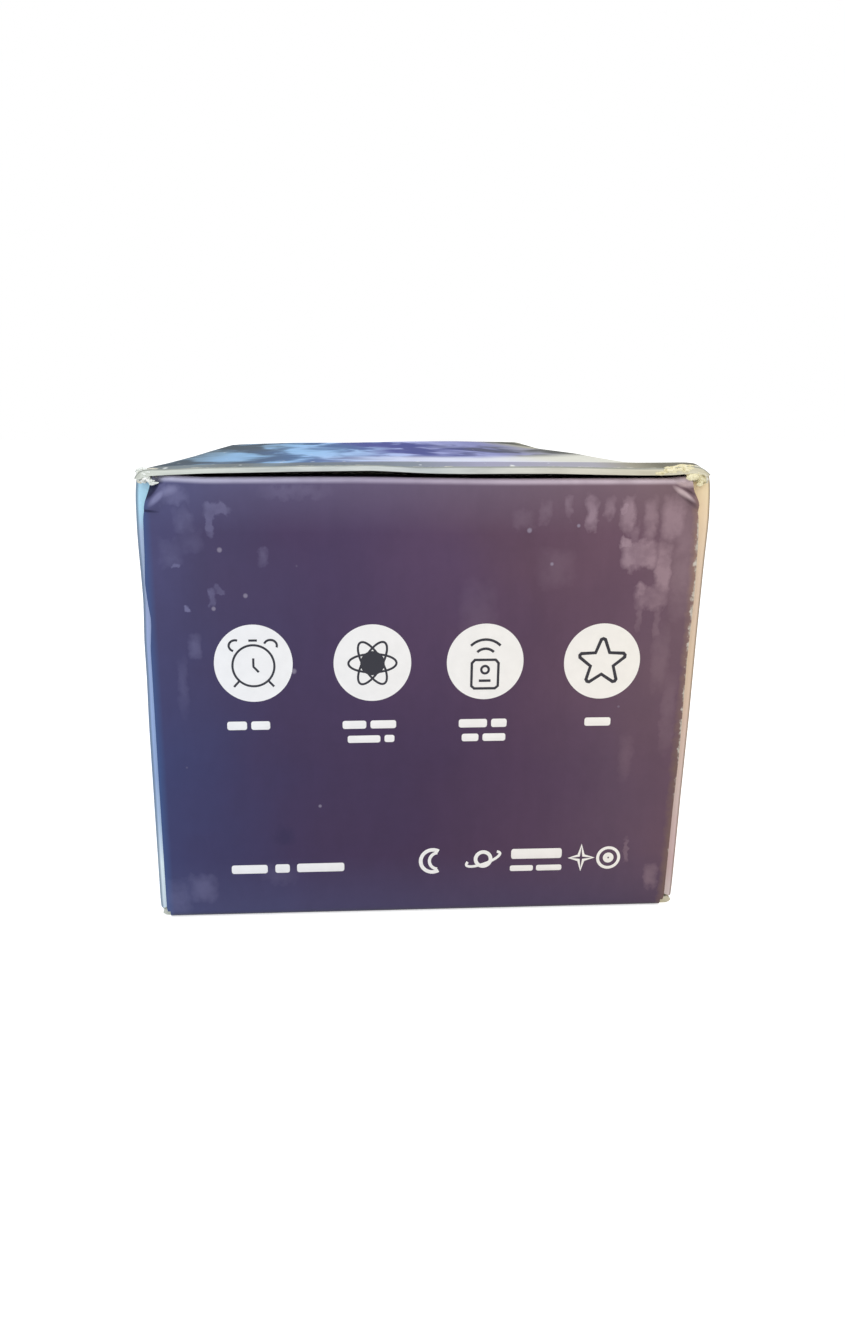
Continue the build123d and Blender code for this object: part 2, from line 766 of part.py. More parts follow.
retainer_inner = lens_radius - retainer_lip
retainer_outer = lens_radius + retainer_lip
with BuildPart(stand) as dome_retainer:
    with BuildSketch(section):
        with BuildLine():
            Polyline(
                (retainer_inner, sphere_height(dome_inner, lens_radius) - retainer_drop),
                (retainer_outer, sphere_height(dome_inner, lens_radius) - retainer_drop),
                (retainer_outer, sphere_height(shell_inner, retainer_outer) - retainer_gap),
                (lens_radius, sphere_height(dome_inner, lens_radius) - retainer_gap),
                (retainer_inner, sphere_height(dome_inner, retainer_inner) - retainer_gap),
                close=True,
            )
        make_face()
    revolve(axis=upright)
save(dome_retainer.part, "dome_retainer")

with BuildPart(stand) as optical_bracket:
    with Locations((0, 0, split_height)):
        Cylinder(
            sphere_radius(shell_inner, bracket_top) - bracket_gap, bracket_thickness, align=standing
        )
        with PolarLocations(led_standoff_ring, 3, start_angle=90):
            Cylinder(led_standoff_radius, led_standoff_height, align=hanging)
        Cylinder(hub_radius, bracket_thickness + hub_height, align=standing)
        Cylinder(axle_radius, bracket_thickness + hub_height, align=standing, mode=Mode.SUBTRACT)
        with PolarLocations(led_ring, 3, start_angle=30):
            Cylinder(led_window, bracket_thickness, align=standing, mode=Mode.SUBTRACT)
        with PolarLocations(bracket_post_ring, 3, start_angle=90):
            Cylinder(
                board_screw_radius + screw_hole_gap,
                bracket_thickness,
                align=standing,
                mode=Mode.SUBTRACT,
            )
        with Locations(motor_spot):
            Cylinder(shaft_hole, bracket_thickness, align=standing, mode=Mode.SUBTRACT)
        with Locations(laser_spot):
            Cylinder(laser_radius + laser_hole_gap, bracket_thickness, align=standing, mode=Mode.SUBTRACT)
save(optical_bracket.part, "optical_bracket")

with BuildPart(stand) as bracket_screws:
    with Locations((0, 0, bracket_top)):
        with PolarLocations(bracket_post_ring, 3, start_angle=90):
            Cylinder(board_screw_head, board_screw_head_height, align=standing)
            Cylinder(board_screw_radius, board_screw_length, align=hanging)
save(bracket_screws.part, "bracket_screws")

with BuildPart(stand) as disc_axle:
    with Locations((0, 0, split_height)):
        Cylinder(axle_radius, disc_top + disc_side_gap - split_height, align=standing)
    with Locations((0, 0, disc_top + disc_side_gap)):
        Cylinder(hub_radius, axle_head_height, align=standing)
save(disc_axle.part, "disc_axle")

led_face = split_height - led_standoff_height
with BuildPart(stand) as led_board:
    with Locations((0, 0, led_face)):
        Cylinder(led_board_radius, pcb, align=hanging)
save(led_board.part, "led_board")

with BuildPart(stand) as led_emitters:
    with Locations((0, 0, led_face)):
        with PolarLocations(led_ring, 3, start_angle=30):
            Cylinder(led_radius, led_collar, align=standing)
    with Locations((0, 0, led_face + led_collar)):
        with PolarLocations(led_ring, 3, start_angle=30):
            Sphere(led_radius, arc_size1=0, align=standing)
save(led_emitters.part, "led_emitters")

sink_top = led_face - pcb
with BuildPart(stand) as heat_sink:
    with Locations((0, 0, sink_top)):
        Cylinder(led_board_radius, sink_height, align=hanging)
    with Locations((0, 0, sink_top - sink_base)):
        with GridLocations(sink_pitch, 1, 8, 1):
            Box(
                sink_pitch - sink_fin,
                2 * led_board_radius,
                sink_height,
                align=hanging,
                mode=Mode.SUBTRACT,
            )
save(heat_sink.part, "heat_sink")

with BuildPart(stand) as motor_can:
    with Locations((*motor_spot, split_height)):
        Cylinder(motor_radius, motor_height, align=hanging)
        Cylinder(
            shaft_radius + shaft_gap, shaft_sink + shaft_gap, align=hanging, mode=Mode.SUBTRACT
        )
save(motor_can.part, "motor_can")

with BuildPart(stand) as laser_module:
    with Locations((*laser_spot, bracket_top)):
        Cylinder(laser_radius, laser_above, align=standing)
        Cylinder(laser_flange, laser_flange_height, align=standing)
        Cylinder(laser_radius, laser_below, align=hanging)
save(laser_module.part, "laser_module")

with BuildPart(stand) as star_grating:
    with Locations((*laser_spot, bracket_top + laser_above)):
        Cylinder(grating_radius, grating_thickness, align=standing)
save(star_grating.part, "star_grating")


# ================================================================ gears
def involute(angle):
    """The involute function of a pressure angle."""
    return tan(angle) - angle


def spur_gear(teeth, phase):
    """Adds a spur gear's outline to the sketch being drawn, with its first tooth at that angle."""
    pressure = radians(20)
    pitch = tooth_module * teeth / 2
    base = pitch * cos(pressure)
    root = pitch - 1.25 * tooth_module
    half_pitch_angle = pi / (2 * teeth) - backlash / (4 * pitch)

    def flank(radius):
        turned = involute(pressure) - involute(acos(min(1.0, base / radius)))
        angle = half_pitch_angle + turned
        return radius * cos(angle), radius * sin(angle)

    start = max(root, base)
    upper = [flank(radius) for radius in (start, (start + pitch) / 2, pitch, pitch + tooth_module)]
    foot = (root - tooth_module / 2, upper[0][1])
    outline = [foot, *upper]
    tooth = outline + [(x, -y) for x, y in reversed(outline)]
    Circle(root)
    with PolarLocations(0, teeth, start_angle=phase):
        Polygon(*tooth, align=None)


disc_face = disc_bottom + (disc_hub_height - disc_thickness) / 2
with BuildPart(stand) as nebula_disc:
    with BuildSketch(stand.offset(disc_face)):
        spur_gear(disc_teeth, gear_angle)
    extrude(amount=disc_thickness)
    with Locations((0, 0, disc_bottom)):
        Cylinder(disc_hub_radius, disc_hub_height, align=standing)
        Cylinder(axle_radius + axle_gap, disc_hub_height, align=standing, mode=Mode.SUBTRACT)
save(nebula_disc.part, "nebula_disc")

pinion_face = disc_face - (pinion_height - disc_thickness) / 2
pinion_phase = gear_angle + 180 + 180 / pinion_teeth
with BuildPart(stand) as motor_pinion:
    with BuildSketch(stand.offset(pinion_face)):
        with Locations(motor_spot):
            spur_gear(pinion_teeth, pinion_phase)
            Circle(shaft_radius, mode=Mode.SUBTRACT)
    extrude(amount=pinion_height)
save(motor_pinion.part, "motor_pinion")

with BuildPart(stand) as motor_shaft:
    with Locations((*motor_spot, split_height - shaft_sink)):
        Cylinder(shaft_radius, shaft_length, align=standing)
save(motor_shaft.part, "motor_shaft")

# ================================================================ remote control
remote_near = from_front(remote_depth)
remote_y = remote_near + remote_length / 2
remote_far = remote_near + remote_length
split_z = board + remote_lower
cover_z = split_z + remote_upper
led_z = split_z + remote_stack / 2
drawer_z = board + remote_floor + drawer_gap
post_x = remote_width / 2 - remote_wall - remote_post / 2
post_y = remote_length / 2 - remote_corner
key_spots = [
    ((column - 0.5) * key_pitch_x, remote_near + key_first + row * key_pitch_y)
    for row in range(key_rows)
    for column in range(key_columns)
]

with BuildPart() as remote_lower_shell:
    with BuildSketch(Plane.XY.offset(board)):
        with Locations((0, remote_y)):
            RectangleRounded(remote_width, remote_length, remote_corner)
    extrude(amount=remote_lower)
    fillet(remote_lower_shell.edges().group_by(Axis.Z)[0], remote_edge)
    with BuildSketch(Plane.XY.offset(board + remote_floor)):
        with Locations((0, remote_y)):
            RectangleRounded(
                remote_width - 2 * remote_wall,
                remote_length - 2 * remote_wall,
                remote_corner - remote_wall,
            )
    extrude(amount=remote_lower, mode=Mode.SUBTRACT)
    with Locations((0, remote_y, board + remote_floor)):
        with GridLocations(2 * post_x, 2 * post_y, 2, 2):
            Cylinder(remote_post, remote_lower - remote_floor, align=standing)
    with Locations((0, remote_far, drawer_z - drawer_gap)):
        Box(
            drawer_width + 2 * drawer_gap,
            4 * remote_wall,
            remote_lower,
            align=standing,
            mode=Mode.SUBTRACT,
        )
save(remote_lower_shell.part, "remote_lower_shell")

with BuildPart() as remote_upper_shell:
    with BuildSketch(Plane.XY.offset(split_z)):
        with Locations((0, remote_y)):
            RectangleRounded(remote_width, remote_length, remote_corner)
    extrude(amount=remote_upper)
    fillet(remote_upper_shell.edges().group_by(Axis.Z)[-1], remote_edge)
    with BuildSketch(Plane.XY.offset(split_z)):
        with Locations((0, remote_y)):
            RectangleRounded(
                remote_width - 2 * remote_wall,
                remote_length - 2 * remote_wall,
                remote_corner - remote_wall,
            )
    extrude(amount=remote_upper - remote_wall, mode=Mode.SUBTRACT)
    with BuildSketch(Plane.XY.offset(split_z)):
        with Locations(*key_spots):
            Circle(key_radius + key_gap)
    extrude(amount=remote_upper, mode=Mode.SUBTRACT)
    with Locations(Location((0, remote_near, led_z), (-90, 0, 0))):
        Cylinder(remote_led_radius + remote_led_gap, 3 * remote_wall, mode=Mode.SUBTRACT)
save(remote_upper_shell.part, "remote_upper_shell")

board_inset = remote_wall + drawer_gap
board_near = remote_near + remote_led_length - remote_led_proud + drawer_gap
with BuildPart() as remote_board:
    slab(
        (board_inset - remote_width / 2, remote_width / 2 - board_inset),
        (board_near, remote_far - board_inset),
        (split_z, split_z + remote_board_thickness),
    )
    far_corners = remote_board.edges().filter_by(Axis.Z).sort_by(Axis.Y)[-2:]
    fillet(far_corners, remote_corner)
save(remote_board.part, "remote_board")

with BuildPart() as remote_led:
    with Locations(Location((0, remote_near - remote_led_proud, led_z), (-90, 0, 0))):
        Cylinder(remote_led_radius, remote_led_length, align=standing)
    fillet(remote_led.edges().group_by(Axis.Y)[0], remote_led_radius / 2)
save(remote_led.part, "remote_led")

flange_base = split_z + remote_board_thickness + key_travel + remote_play
for number, spot in enumerate(key_spots, start=1):
    with BuildPart() as remote_key:
        with Locations((*spot, flange_base)):
            Cylinder(key_radius, cover_z + key_proud - flange_base, align=standing)
            Cylinder(key_flange, key_flange_thickness, align=standing)
        fillet(remote_key.edges().group_by(Axis.Z)[-1], key_edge)
    save(remote_key.part, f"remote_key_{number}")

drawer_far = remote_far + drawer_lip
drawer_near = drawer_far - drawer_length
cell_y = drawer_near + cell_radius + drawer_lip
with BuildPart() as battery_drawer:
    slab(
        (-drawer_width / 2, drawer_width / 2),
        (drawer_near, drawer_far),
        (drawer_z, drawer_z + drawer_thickness),
    )
    with Locations((0, cell_y, drawer_z + drawer_thickness)):
        Cylinder(cell_radius + cell_gap, cell_thickness + cell_gap, align=hanging, mode=Mode.SUBTRACT)
    fillet(battery_drawer.edges().filter_by(Axis.Z).sort_by(Axis.Y)[-2:], drawer_lip)
save(battery_drawer.part, "battery_drawer")

with BuildPart() as coin_cell:
    with Locations((0, cell_y, drawer_z + drawer_thickness - cell_gap)):
        Cylinder(cell_radius, cell_thickness, align=hanging)
    fillet(coin_cell.edges().group_by(Axis.Z)[0], cell_edge)
save(coin_cell.part, "coin_cell")
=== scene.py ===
"""Dresses the star night light projector, its remote control and its printed carton.

Sizes in this file are millimetres until a mesh is made, and the frame is metres.
+Z is up, -Y is the front end with the printed closure, and +X is to the right of someone facing it.
"""

import math
from functools import partial

import bmesh
import bpy
import numpy as np
from bpy.props import FloatProperty, FloatVectorProperty, PointerProperty
from mathutils import Matrix, Vector, noise
from mathutils.bvhtree import BVHTree


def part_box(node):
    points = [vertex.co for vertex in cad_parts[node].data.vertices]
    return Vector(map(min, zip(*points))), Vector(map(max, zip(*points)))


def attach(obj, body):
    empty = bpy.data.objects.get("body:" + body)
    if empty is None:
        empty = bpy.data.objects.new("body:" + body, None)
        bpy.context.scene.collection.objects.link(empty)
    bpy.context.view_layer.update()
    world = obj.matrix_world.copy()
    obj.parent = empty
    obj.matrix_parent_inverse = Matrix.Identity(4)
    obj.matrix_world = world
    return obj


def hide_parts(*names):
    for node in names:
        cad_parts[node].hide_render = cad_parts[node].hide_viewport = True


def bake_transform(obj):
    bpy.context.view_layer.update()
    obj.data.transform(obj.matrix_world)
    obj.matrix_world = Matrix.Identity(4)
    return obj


bl_info = {
    "name": "Star night light projector",
    "version": (1, 0, 0),
    "blender": (4, 5, 0),
    "location": "View3D > Sidebar > Projector",
    "description": "Dresses the projector, its remote control and its printed carton",
    "category": "Object",
}

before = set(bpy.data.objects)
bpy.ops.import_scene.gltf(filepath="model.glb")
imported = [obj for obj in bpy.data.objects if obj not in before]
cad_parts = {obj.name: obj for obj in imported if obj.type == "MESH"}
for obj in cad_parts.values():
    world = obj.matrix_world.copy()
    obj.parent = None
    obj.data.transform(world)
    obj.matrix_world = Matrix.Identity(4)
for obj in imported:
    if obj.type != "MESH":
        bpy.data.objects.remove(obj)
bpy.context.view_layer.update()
MM = 0.001
ENDS = {"front": -1, "rear": 1}
HANDS = {"left": -1, "right": 1}


def limits(node):
    """Lowest and highest corner of a CAD node in millimetres."""
    return [np.array(corner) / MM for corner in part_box(node)]


TOP_LOW, TOP_HIGH = limits("top_panel")
SIDE_END = float(limits("right_panel")[1][1])
BOTTOM_END = float(limits("bottom_panel")[1][1])
CLOSURE_TOP = float(limits("front_closure")[1][2])
TUCK_HIGH = limits("front_tuck_flap")[1]
DUST_LOW = limits("front_right_dust_flap")[0]
HALF_WIDTH, HALF_LENGTH, HEIGHT = (float(size) for size in TOP_HIGH)
BOARD = float(TOP_HIGH[2] - TOP_LOW[2])
FLUTE = 2.4  # from one wave of the board's core to the next
RIB_SCALE = 2 * math.pi / 20 / FLUTE  # draws a wave texture's bands one flute apart
TUCK_SAG = 0.02  # how far a tuck flap slopes down for each millimetre of its length
REAR_HALF = 63.0  # half width of the rear closure, whose edges have stayed straight
TUCK_CORNER = 8.0  # radius of a tuck flap's free corners
DUST_CORNER = 6.0  # radius of a dust flap's free corners
ENDLESS = 1e5  # a patch's size along the axis that it doesn't end on
SHARP_ANGLE = math.radians(38)  # faces that meet at more than this show an edge


def linear(code):
    """A colour's sRGB hex value as linear red, green, blue and alpha."""
    parts = [int(code[place : place + 2], 16) / 255 for place in (0, 2, 4)]
    return (*[p / 12.92 if p <= 0.04045 else ((p + 0.055) / 1.055) ** 2.4 for p in parts], 1.0)


# ---------------------------------------------------------------- what a user would change


class CartonSettings(bpy.types.PropertyGroup):
    """Sizes of the folded board"""

    fold: FloatProperty(
        name="Fold radius", description="Outer radius of a creased fold in the board",
        default=1.8 * MM, min=BOARD * MM, unit="LENGTH",
    )
    crease: FloatProperty(
        name="Long crease radius", description="Outer radius of the sleeve's four long creases",
        default=2.1 * MM, min=BOARD * MM, unit="LENGTH",
    )
    ink: FloatProperty(
        name="Ink height", description="How far printed marks stand off the board",
        default=0.05 * MM, min=0.01 * MM, unit="LENGTH",
    )
    wear: FloatProperty(
        name="Wear", description="How much the corners are crushed, from none to fully",
        default=1.0, min=0.0, max=1.5, subtype="FACTOR",
    )


class PrintSettings(bpy.types.PropertyGroup):
    """Colours of the carton's print"""

    navy: FloatVectorProperty(
        name="Navy", description="Left side of a closure's print", subtype="COLOR",
        size=4, default=linear("47466f"),
    )
    plum: FloatVectorProperty(
        name="Plum", description="Right side of a closure's print", subtype="COLOR",
        size=4, default=linear("664b5b"),
    )
    sky: FloatVectorProperty(
        name="Sky blue", description="Left side panel's print", subtype="COLOR",
        size=4, default=linear("9ab2e0"),
    )
    peach: FloatVectorProperty(
        name="Peach", description="Right side panel's print", subtype="COLOR",
        size=4, default=linear("f0d8b6"),
    )


class LightSettings(bpy.types.PropertyGroup):
    """The studio's soft light"""

    sky: FloatProperty(
        name="Room light", description="Strength of the even white light from all round",
        default=0.76, min=0.0,
    )
    key: FloatProperty(
        name="Overhead lamp", description="Power of the large soft lamp above the front",
        default=3.2, min=0.0, unit="POWER",
    )
    side: FloatProperty(
        name="Side lamp", description="Power of the soft lamp on the left",
        default=1.1, min=0.0, unit="POWER",
    )


# ---------------------------------------------------------------- how the carton has settled


def eased(value, places, heights, spread):
    """Height at a place along a given line of points, rounded off over a spread."""
    steps = np.linspace(-spread, spread, 7)
    return np.mean([np.interp(np.asarray(value) + step, places, heights) for step in steps], axis=0)


def smooth(value, low, high):
    """0 below low, 1 above high, and an S curve in between."""
    share = np.clip((np.asarray(value, float) - low) / (high - low), 0, 1)
    return share * share * (3 - 2 * share)


def hump(value, middle, width):
    """1 at the middle, falling off evenly on both sides."""
    return np.exp(-(((value - middle) / width) ** 2))


def points_at(x, y, z):
    """Points from their coordinates, any of which may be one number for all of them."""
    return np.stack(np.broadcast_arrays(x, y, z), axis=-1)


def top_rise(x, y):
    """How far the top panel stands above its flat place: it crowns at the front and sags at the left."""
    across = (np.clip(x, -HALF_WIDTH, HALF_WIDTH) + HALF_WIDTH) / (2 * HALF_WIDTH)
    along = (np.clip(y, -HALF_LENGTH, HALF_LENGTH) + HALF_LENGTH) / (2 * HALF_LENGTH)
    depth = along * 2 * HALF_LENGTH
    front = eased(
        x, (-65, -62, -50, -39, -28, -6, 5, 17, 40, 49, 56, 65),
        (-0.3, 0, 0.55, 0.75, 0.95, 1.2, 1.2, 1.15, 1, 0.85, 0.9, 1), 2,
    )
    rear = eased(x, (-65, -52, -34, -11, 12, 35, 65), (-0.4, 0.1, 0.6, 0.6, 1.1, 1.3, 0.9), 5)
    left = eased(depth, (0, 20, 35, 63, 97, 156, 245), (-0.4, -0.45, -0.6, -0.65, -0.7, -0.5, -0.4), 8)
    right = eased(
        depth, (0, 12, 20, 34, 60, 90, 120, 185, 231, 245),
        (0.9, 0.9, 0.5, -0.2, -1, -0.8, -0.4, -0.4, 1.1, 0.9), 5,
    )
    lip = eased(
        x, (-65, -12, -3, 2, 9, 29, 40, 56, 61, 64), (0, 0, 0.5, 0.7, 0.78, 0.62, 0.78, 0.82, 0.4, 0), 1,
    )
    rise = (1 - across) * (left + 0.4) + across * (right - 0.9)
    return rise + (1 - along) * front + along * rear - lip * (1 - smooth(depth, 0, 7))


def side_push(side, y, z):
    """How far a side panel leans outwards, to the side that it is on."""
    if side < 0:
        push = eased(
            z, (0, 3, 50, 62, 70, 80, 86, 94, 100, 104, 107, 110),
            (0.6, 0.85, 0.9, 0.7, 0.75, 0.35, 0.5, 0.75, 0.7, 0.6, 0.3, -0.2), 1.5,
        )
    else:
        push = eased(
            z, (0, 5, 30, 50, 70, 88, 98, 102, 105, 107, 108.5, 110),
            (1, 1.2, 1.45, 1.75, 1.85, 2.05, 2.3, 2.1, 1.85, 1.5, 0.9, -0.2), 1.2,
        )
    return push * (0.35 + 0.65 * smooth(np.abs(y), 84, 116))


def settle(points):
    """Moves points of the carton from their flat places to where the worn carton's board has settled."""
    x, y, z = points[..., 0], points[..., 1], points[..., 2]
    lean = side_push(1, y, z) * smooth(x, 40, 62) - side_push(-1, y, z) * smooth(-x, 40, 62)
    over = smooth(np.abs(y), 116, 121) * smooth(z, 104, 108)
    droop = np.where(x > 0, 1.2, 0.3) * smooth(np.abs(x), 59, 65) ** 2 * over
    return points_at(x + lean, y, z + top_rise(x, y) * smooth(z, 96, 108) - droop)


def settle_flap(points, side, end):
    """Mirrors a front right dust flap to its own corner, and leans its fold with the side panel."""
    x, y, z = points[..., 0], points[..., 1], points[..., 2]
    lean = side_push(side, HALF_LENGTH, z) * smooth(x, 56, 64)
    rise = top_rise(side * x, end * -y) * smooth(z, 96, 108) * smooth(x, 58, 62)
    return points_at(side * (x + lean), end * -y, z + rise)


def closure_half(side, end, z):
    """Half width of a closure at a height, on one side: the front one's cut edges aren't quite straight."""
    if end > 0:
        return REAR_HALF
    if side < 0:
        return eased(
            z, (0, 2.5, 41, 69, 75.5, 80, 84, 90, 98, 101.5, 104.3, 106.5, 110),
            (62.9, 63.8, 63.8, 63.75, 63.2, 63.8, 64.1, 63.8, 63.6, 63.1, 62.2, 61.5, 60.8), 0.5,
        )
    return eased(
        z, (0, 2.5, 28, 41, 65, 80, 93, 101, 105, 110),
        (62.1, 63.1, 63.4, 63.8, 63.7, 64.15, 63.95, 63.3, 61.9, 60.6), 1,
    )


def closure_dent(x, z, wear):
    """How far a closure's face lies behind its flat place: slight waves, and its crushed upper corners."""
    waves = 0.22 * np.sin(x / 19 + 0.6) * np.sin(z / 31 + 0.4) * smooth(z, 0, 20)
    # left corner: beyond a slanting crease the board is pressed back, beside a raised facet
    beyond = (-61.9 - x) * 0.77 + (z - 104.2) * 0.64
    left = 1.6 * smooth(beyond, -1, 0.5) - 0.7 * hump(beyond, -2.8, 1.3)
    left = left * smooth(-x, 55, 59.5) * smooth(z, 98.5, 101)
    fold = 0.5 * hump(z + 0.1 * (x + 62), 99.4, 0.5) * smooth(-x, 58, 62)
    # right corner: a raised fold between two grooves
    along = (z - 103.7) * 0.79 + (x - 60) * 0.61
    right = 0.3 * smooth(along, 0.6, 3) - 0.6 * hump(along, 0, 0.75)
    right = right + 0.6 * hump(along, 1.6, 0.6) + 0.5 * hump(along, -1.7, 0.8)
    return waves + wear * (left + fold + right * smooth(x, 54.5, 58.5) * smooth(z, 97, 100))


def closure_point(x, y, z, end, wear):
    """Settled place of a point of a closure, from its place in a flat front one, with its waves and dents."""
    lift = 0
    if end < 0:
        lift = 0.8 + 0.003 * x + 0.5 * smooth(-x, 48, 60) - 0.6 * smooth(x, -25, 25) * smooth(-x, -63, -56)
    back = closure_dent(x * -end, z, wear) * smooth(z, 1.8, 6)
    return points_at(x, (y + back) * -end, z + lift * smooth(z, 60, 106))


# ---------------------------------------------------------------- making a mesh


def piece(name, mesh, materials):
    """Links a finished mesh, whose places are in metres, as a smooth object with these materials."""
    for material in materials:
        mesh.materials.append(material)
    mesh.shade_smooth()
    mesh.set_sharp_from_angle(angle=SHARP_ANGLE)
    made = bpy.data.objects.new(name, mesh)
    bpy.context.scene.collection.objects.link(made)
    return made


def places_of(mesh):
    """The places of a mesh's points in millimetres."""
    return np.array([vert.co for vert in mesh.vertices]) / MM


def move_points(mesh, places):
    """Puts a mesh's points at places in millimetres."""
    mesh.vertices.foreach_set("co", (places * MM).astype(np.float32).ravel())


def keep_places(mesh, places):
    """Stores each point's place at rest in millimetres, which the board's patterns are drawn by."""
    held = mesh.attributes.new("place", "FLOAT_VECTOR", "POINT")
    held.data.foreach_set("vector", np.asarray(places, np.float32).ravel())


def board_piece(name, outer, inner, flat, around, materials):
    """Closes two like grids of points, the printed face and the plain face, into one sheet of board.

    Its cut edges take the third material.  `flat` holds the two grids before the board settled, by which
    its print is drawn, and `around` joins the grid's last row to its first.
    """
    points = np.concatenate([outer.reshape(-1, 3), inner.reshape(-1, 3)])
    back = len(points) // 2
    grid = np.arange(back).reshape(outer.shape[:2])
    if around:
        grid = np.concatenate([grid, grid[:1]])
    printed = np.stack([grid[:-1, :-1], grid[1:, :-1], grid[1:, 1:], grid[:-1, 1:]], axis=-1).reshape(-1, 4)
    rims = [grid[::-1, 0], grid[:, -1]] + ([] if around else [grid[0], grid[-1, ::-1]])
    near, far = (np.concatenate([rim[step : len(rim) - 1 + step] for rim in rims]) for step in (0, 1))
    cut = np.stack([near, far, far + back, near + back], axis=-1)
    faces = np.concatenate([printed, back + printed[:, ::-1], cut])
    kinds = np.repeat([0, 1, 2], [len(printed), len(printed), len(cut)])
    mesh = bpy.data.meshes.new(name)
    mesh.from_pydata((points * MM).tolist(), [], faces.tolist())
    mesh.polygons.foreach_set("material_index", kinds)
    keep_places(mesh, np.concatenate([face.reshape(-1, 3) for face in flat]))
    through = mesh.uv_layers.new(name="cut")
    for loop, corner in enumerate(mesh.loops):
        through.data[loop].uv = (0, 0 if corner.vertex_index < back else 1)
    turned = bmesh.new()
    turned.from_mesh(mesh)
    bmesh.ops.recalc_face_normals(turned, faces=turned.faces)
    turned.to_mesh(mesh)
    turned.free()
    return piece(name, mesh, materials)


def spaced(start, end, fine, coarse, zone):
    """Places from start to end, a fine step apart within a zone of each end and a coarse step between."""
    length = abs(end - start)
    near = np.arange(0, zone, fine)
    middle = np.linspace(zone, length - zone, max(2, int(math.ceil((length - 2 * zone) / coarse)) + 1))
    return start + np.sign(end - start) * np.concatenate([near, middle, (length - near)[::-1]])


def arc(centre, radius, first, last, steps):
    """Points of an arc in the plane, between two angles in degrees."""
    turns = np.radians(np.linspace(first, last, steps + 1))
    return np.stack([centre[0] + radius * np.cos(turns), centre[1] + radius * np.sin(turns)], axis=-1)


def folded(centre, radius, first, last, steps):
    """The outer and the inner face of a fold in the board, as two lines of points."""
    return [[tuple(p) for p in arc(centre, size, first, last, steps)] for size in (radius, radius - BOARD)]


# ---------------------------------------------------------------- materials


def add_node(tree, kind, *values, out="", stops={}, **named):
    """Adds a node and gives its first output in use, or the one named `out`, or all where `out` is None.

    `kind` may end in its operation or its type of data.  `values` fill the inputs in use in order, with None
    for one left as it is.  Of the named words those with a capital are inputs and the others are settings.
    `stops` are a ramp's colours, and a text value is a colour's hex code.
    """
    kind, _, choice = kind.partition(":")
    made = tree.nodes.new("ShaderNode" + kind)
    if choice:
        setattr(made, "operation" if hasattr(made, "operation") else "data_type", choice)
    inputs = {}
    for name, value in named.items():
        if name[0].isupper():
            inputs[name.replace("_", " ")] = value
        else:
            setattr(made, name, value)
    in_use = [number for number, socket in enumerate(made.inputs) if socket.enabled]
    inputs.update((number, value) for number, value in zip(in_use, values) if value is not None)
    for number, (place, colour) in enumerate(stops.items()):
        dots = made.color_ramp.elements
        dot = dots[number] if number < len(dots) else dots.new(place)
        dot.position, dot.color = place, linear(colour) if isinstance(colour, str) else colour
    for name, value in inputs.items():
        if isinstance(value, bpy.types.NodeSocket):
            tree.links.new(value, made.inputs[name])
        else:
            made.inputs[name].default_value = linear(value) if isinstance(value, str) else value
    if out is None:
        return made.outputs
    return next(socket for socket in made.outputs if socket.enabled and socket.name.startswith(out))


def start(name):
    """A new material, and the function that adds nodes to its empty tree."""
    material = bpy.data.materials.new(name)
    material.use_nodes = True
    material.node_tree.nodes.clear()
    return material, partial(add_node, material.node_tree)


def start_board(name):
    """A material of the carton or the leaflet, with each point's flat place and its three coordinates."""
    material, add = start(name)
    place = add("Attribute", attribute_name="place", out="Vector")
    return material, add, place, add("SeparateXYZ", place, out=None)


def start_rigid(name):
    """A material of a rigid piece, with the piece's own place in millimetres."""
    material, add = start(name)
    return material, add, add("VectorMath:SCALE", add("TexCoord", out="Object"), 1 / MM)


def surface(add, colour, roughness, height=None, strength=0.2, depth=0.04, **others):
    """Joins this shader to the material's output, with a bump `depth` millimetres deep if it has a height."""
    if height is not None:
        others["Normal"] = add("Bump", Strength=strength, Distance=depth * MM, Height=height)
    add("OutputMaterial", add("BsdfPrincipled", Base_Color=colour, Roughness=roughness, **others), out=None)


def patch(add, place, centre, size, turn=0, soft=1, amount=1, squared=False):
    """A share that is `amount` inside an oval, or a rounded square, in millimetres, and 0 beyond its rim."""
    near = add(
        "Mapping", Vector=place, Location=centre, Rotation=(0, math.radians(turn), 0), Scale=size,
        vector_type="TEXTURE",
    )
    if squared:
        near = add("VectorMath:MULTIPLY", near, near)
    return add("MapRange", add("VectorMath:LENGTH", near), 1, 1 - soft, 0, amount)


def marks(add, place, rows, **how):
    """Patches on a closure: each row is its x and z, half its width and height, softness, amount and turn."""
    return [
        patch(add, place, (x, 0, z), (wide, ENDLESS, tall), soft=soft, amount=amount, turn=sum(turn), **how)
        for x, z, wide, tall, soft, amount, *turn in rows
    ]


def most(add, shares):
    """The largest of several shares at each place."""
    found = shares[0]
    for share in shares[1:]:
        found = add("Math:MAXIMUM", found, share)
    return found


def specks(add, place, spacing, radius, kept):
    """Small round dots about `spacing` millimetres apart, of which only the share above `kept` is there."""
    dots = add("TexVoronoi", Vector=place, Scale=1 / spacing, Randomness=1, out=None)
    near = add("MapRange", dots["Distance"], radius / spacing, 0.4 * radius / spacing)
    return add("Math:MULTIPLY", near, add("Math:GREATER_THAN", add("SeparateXYZ", dots["Color"]), kept))


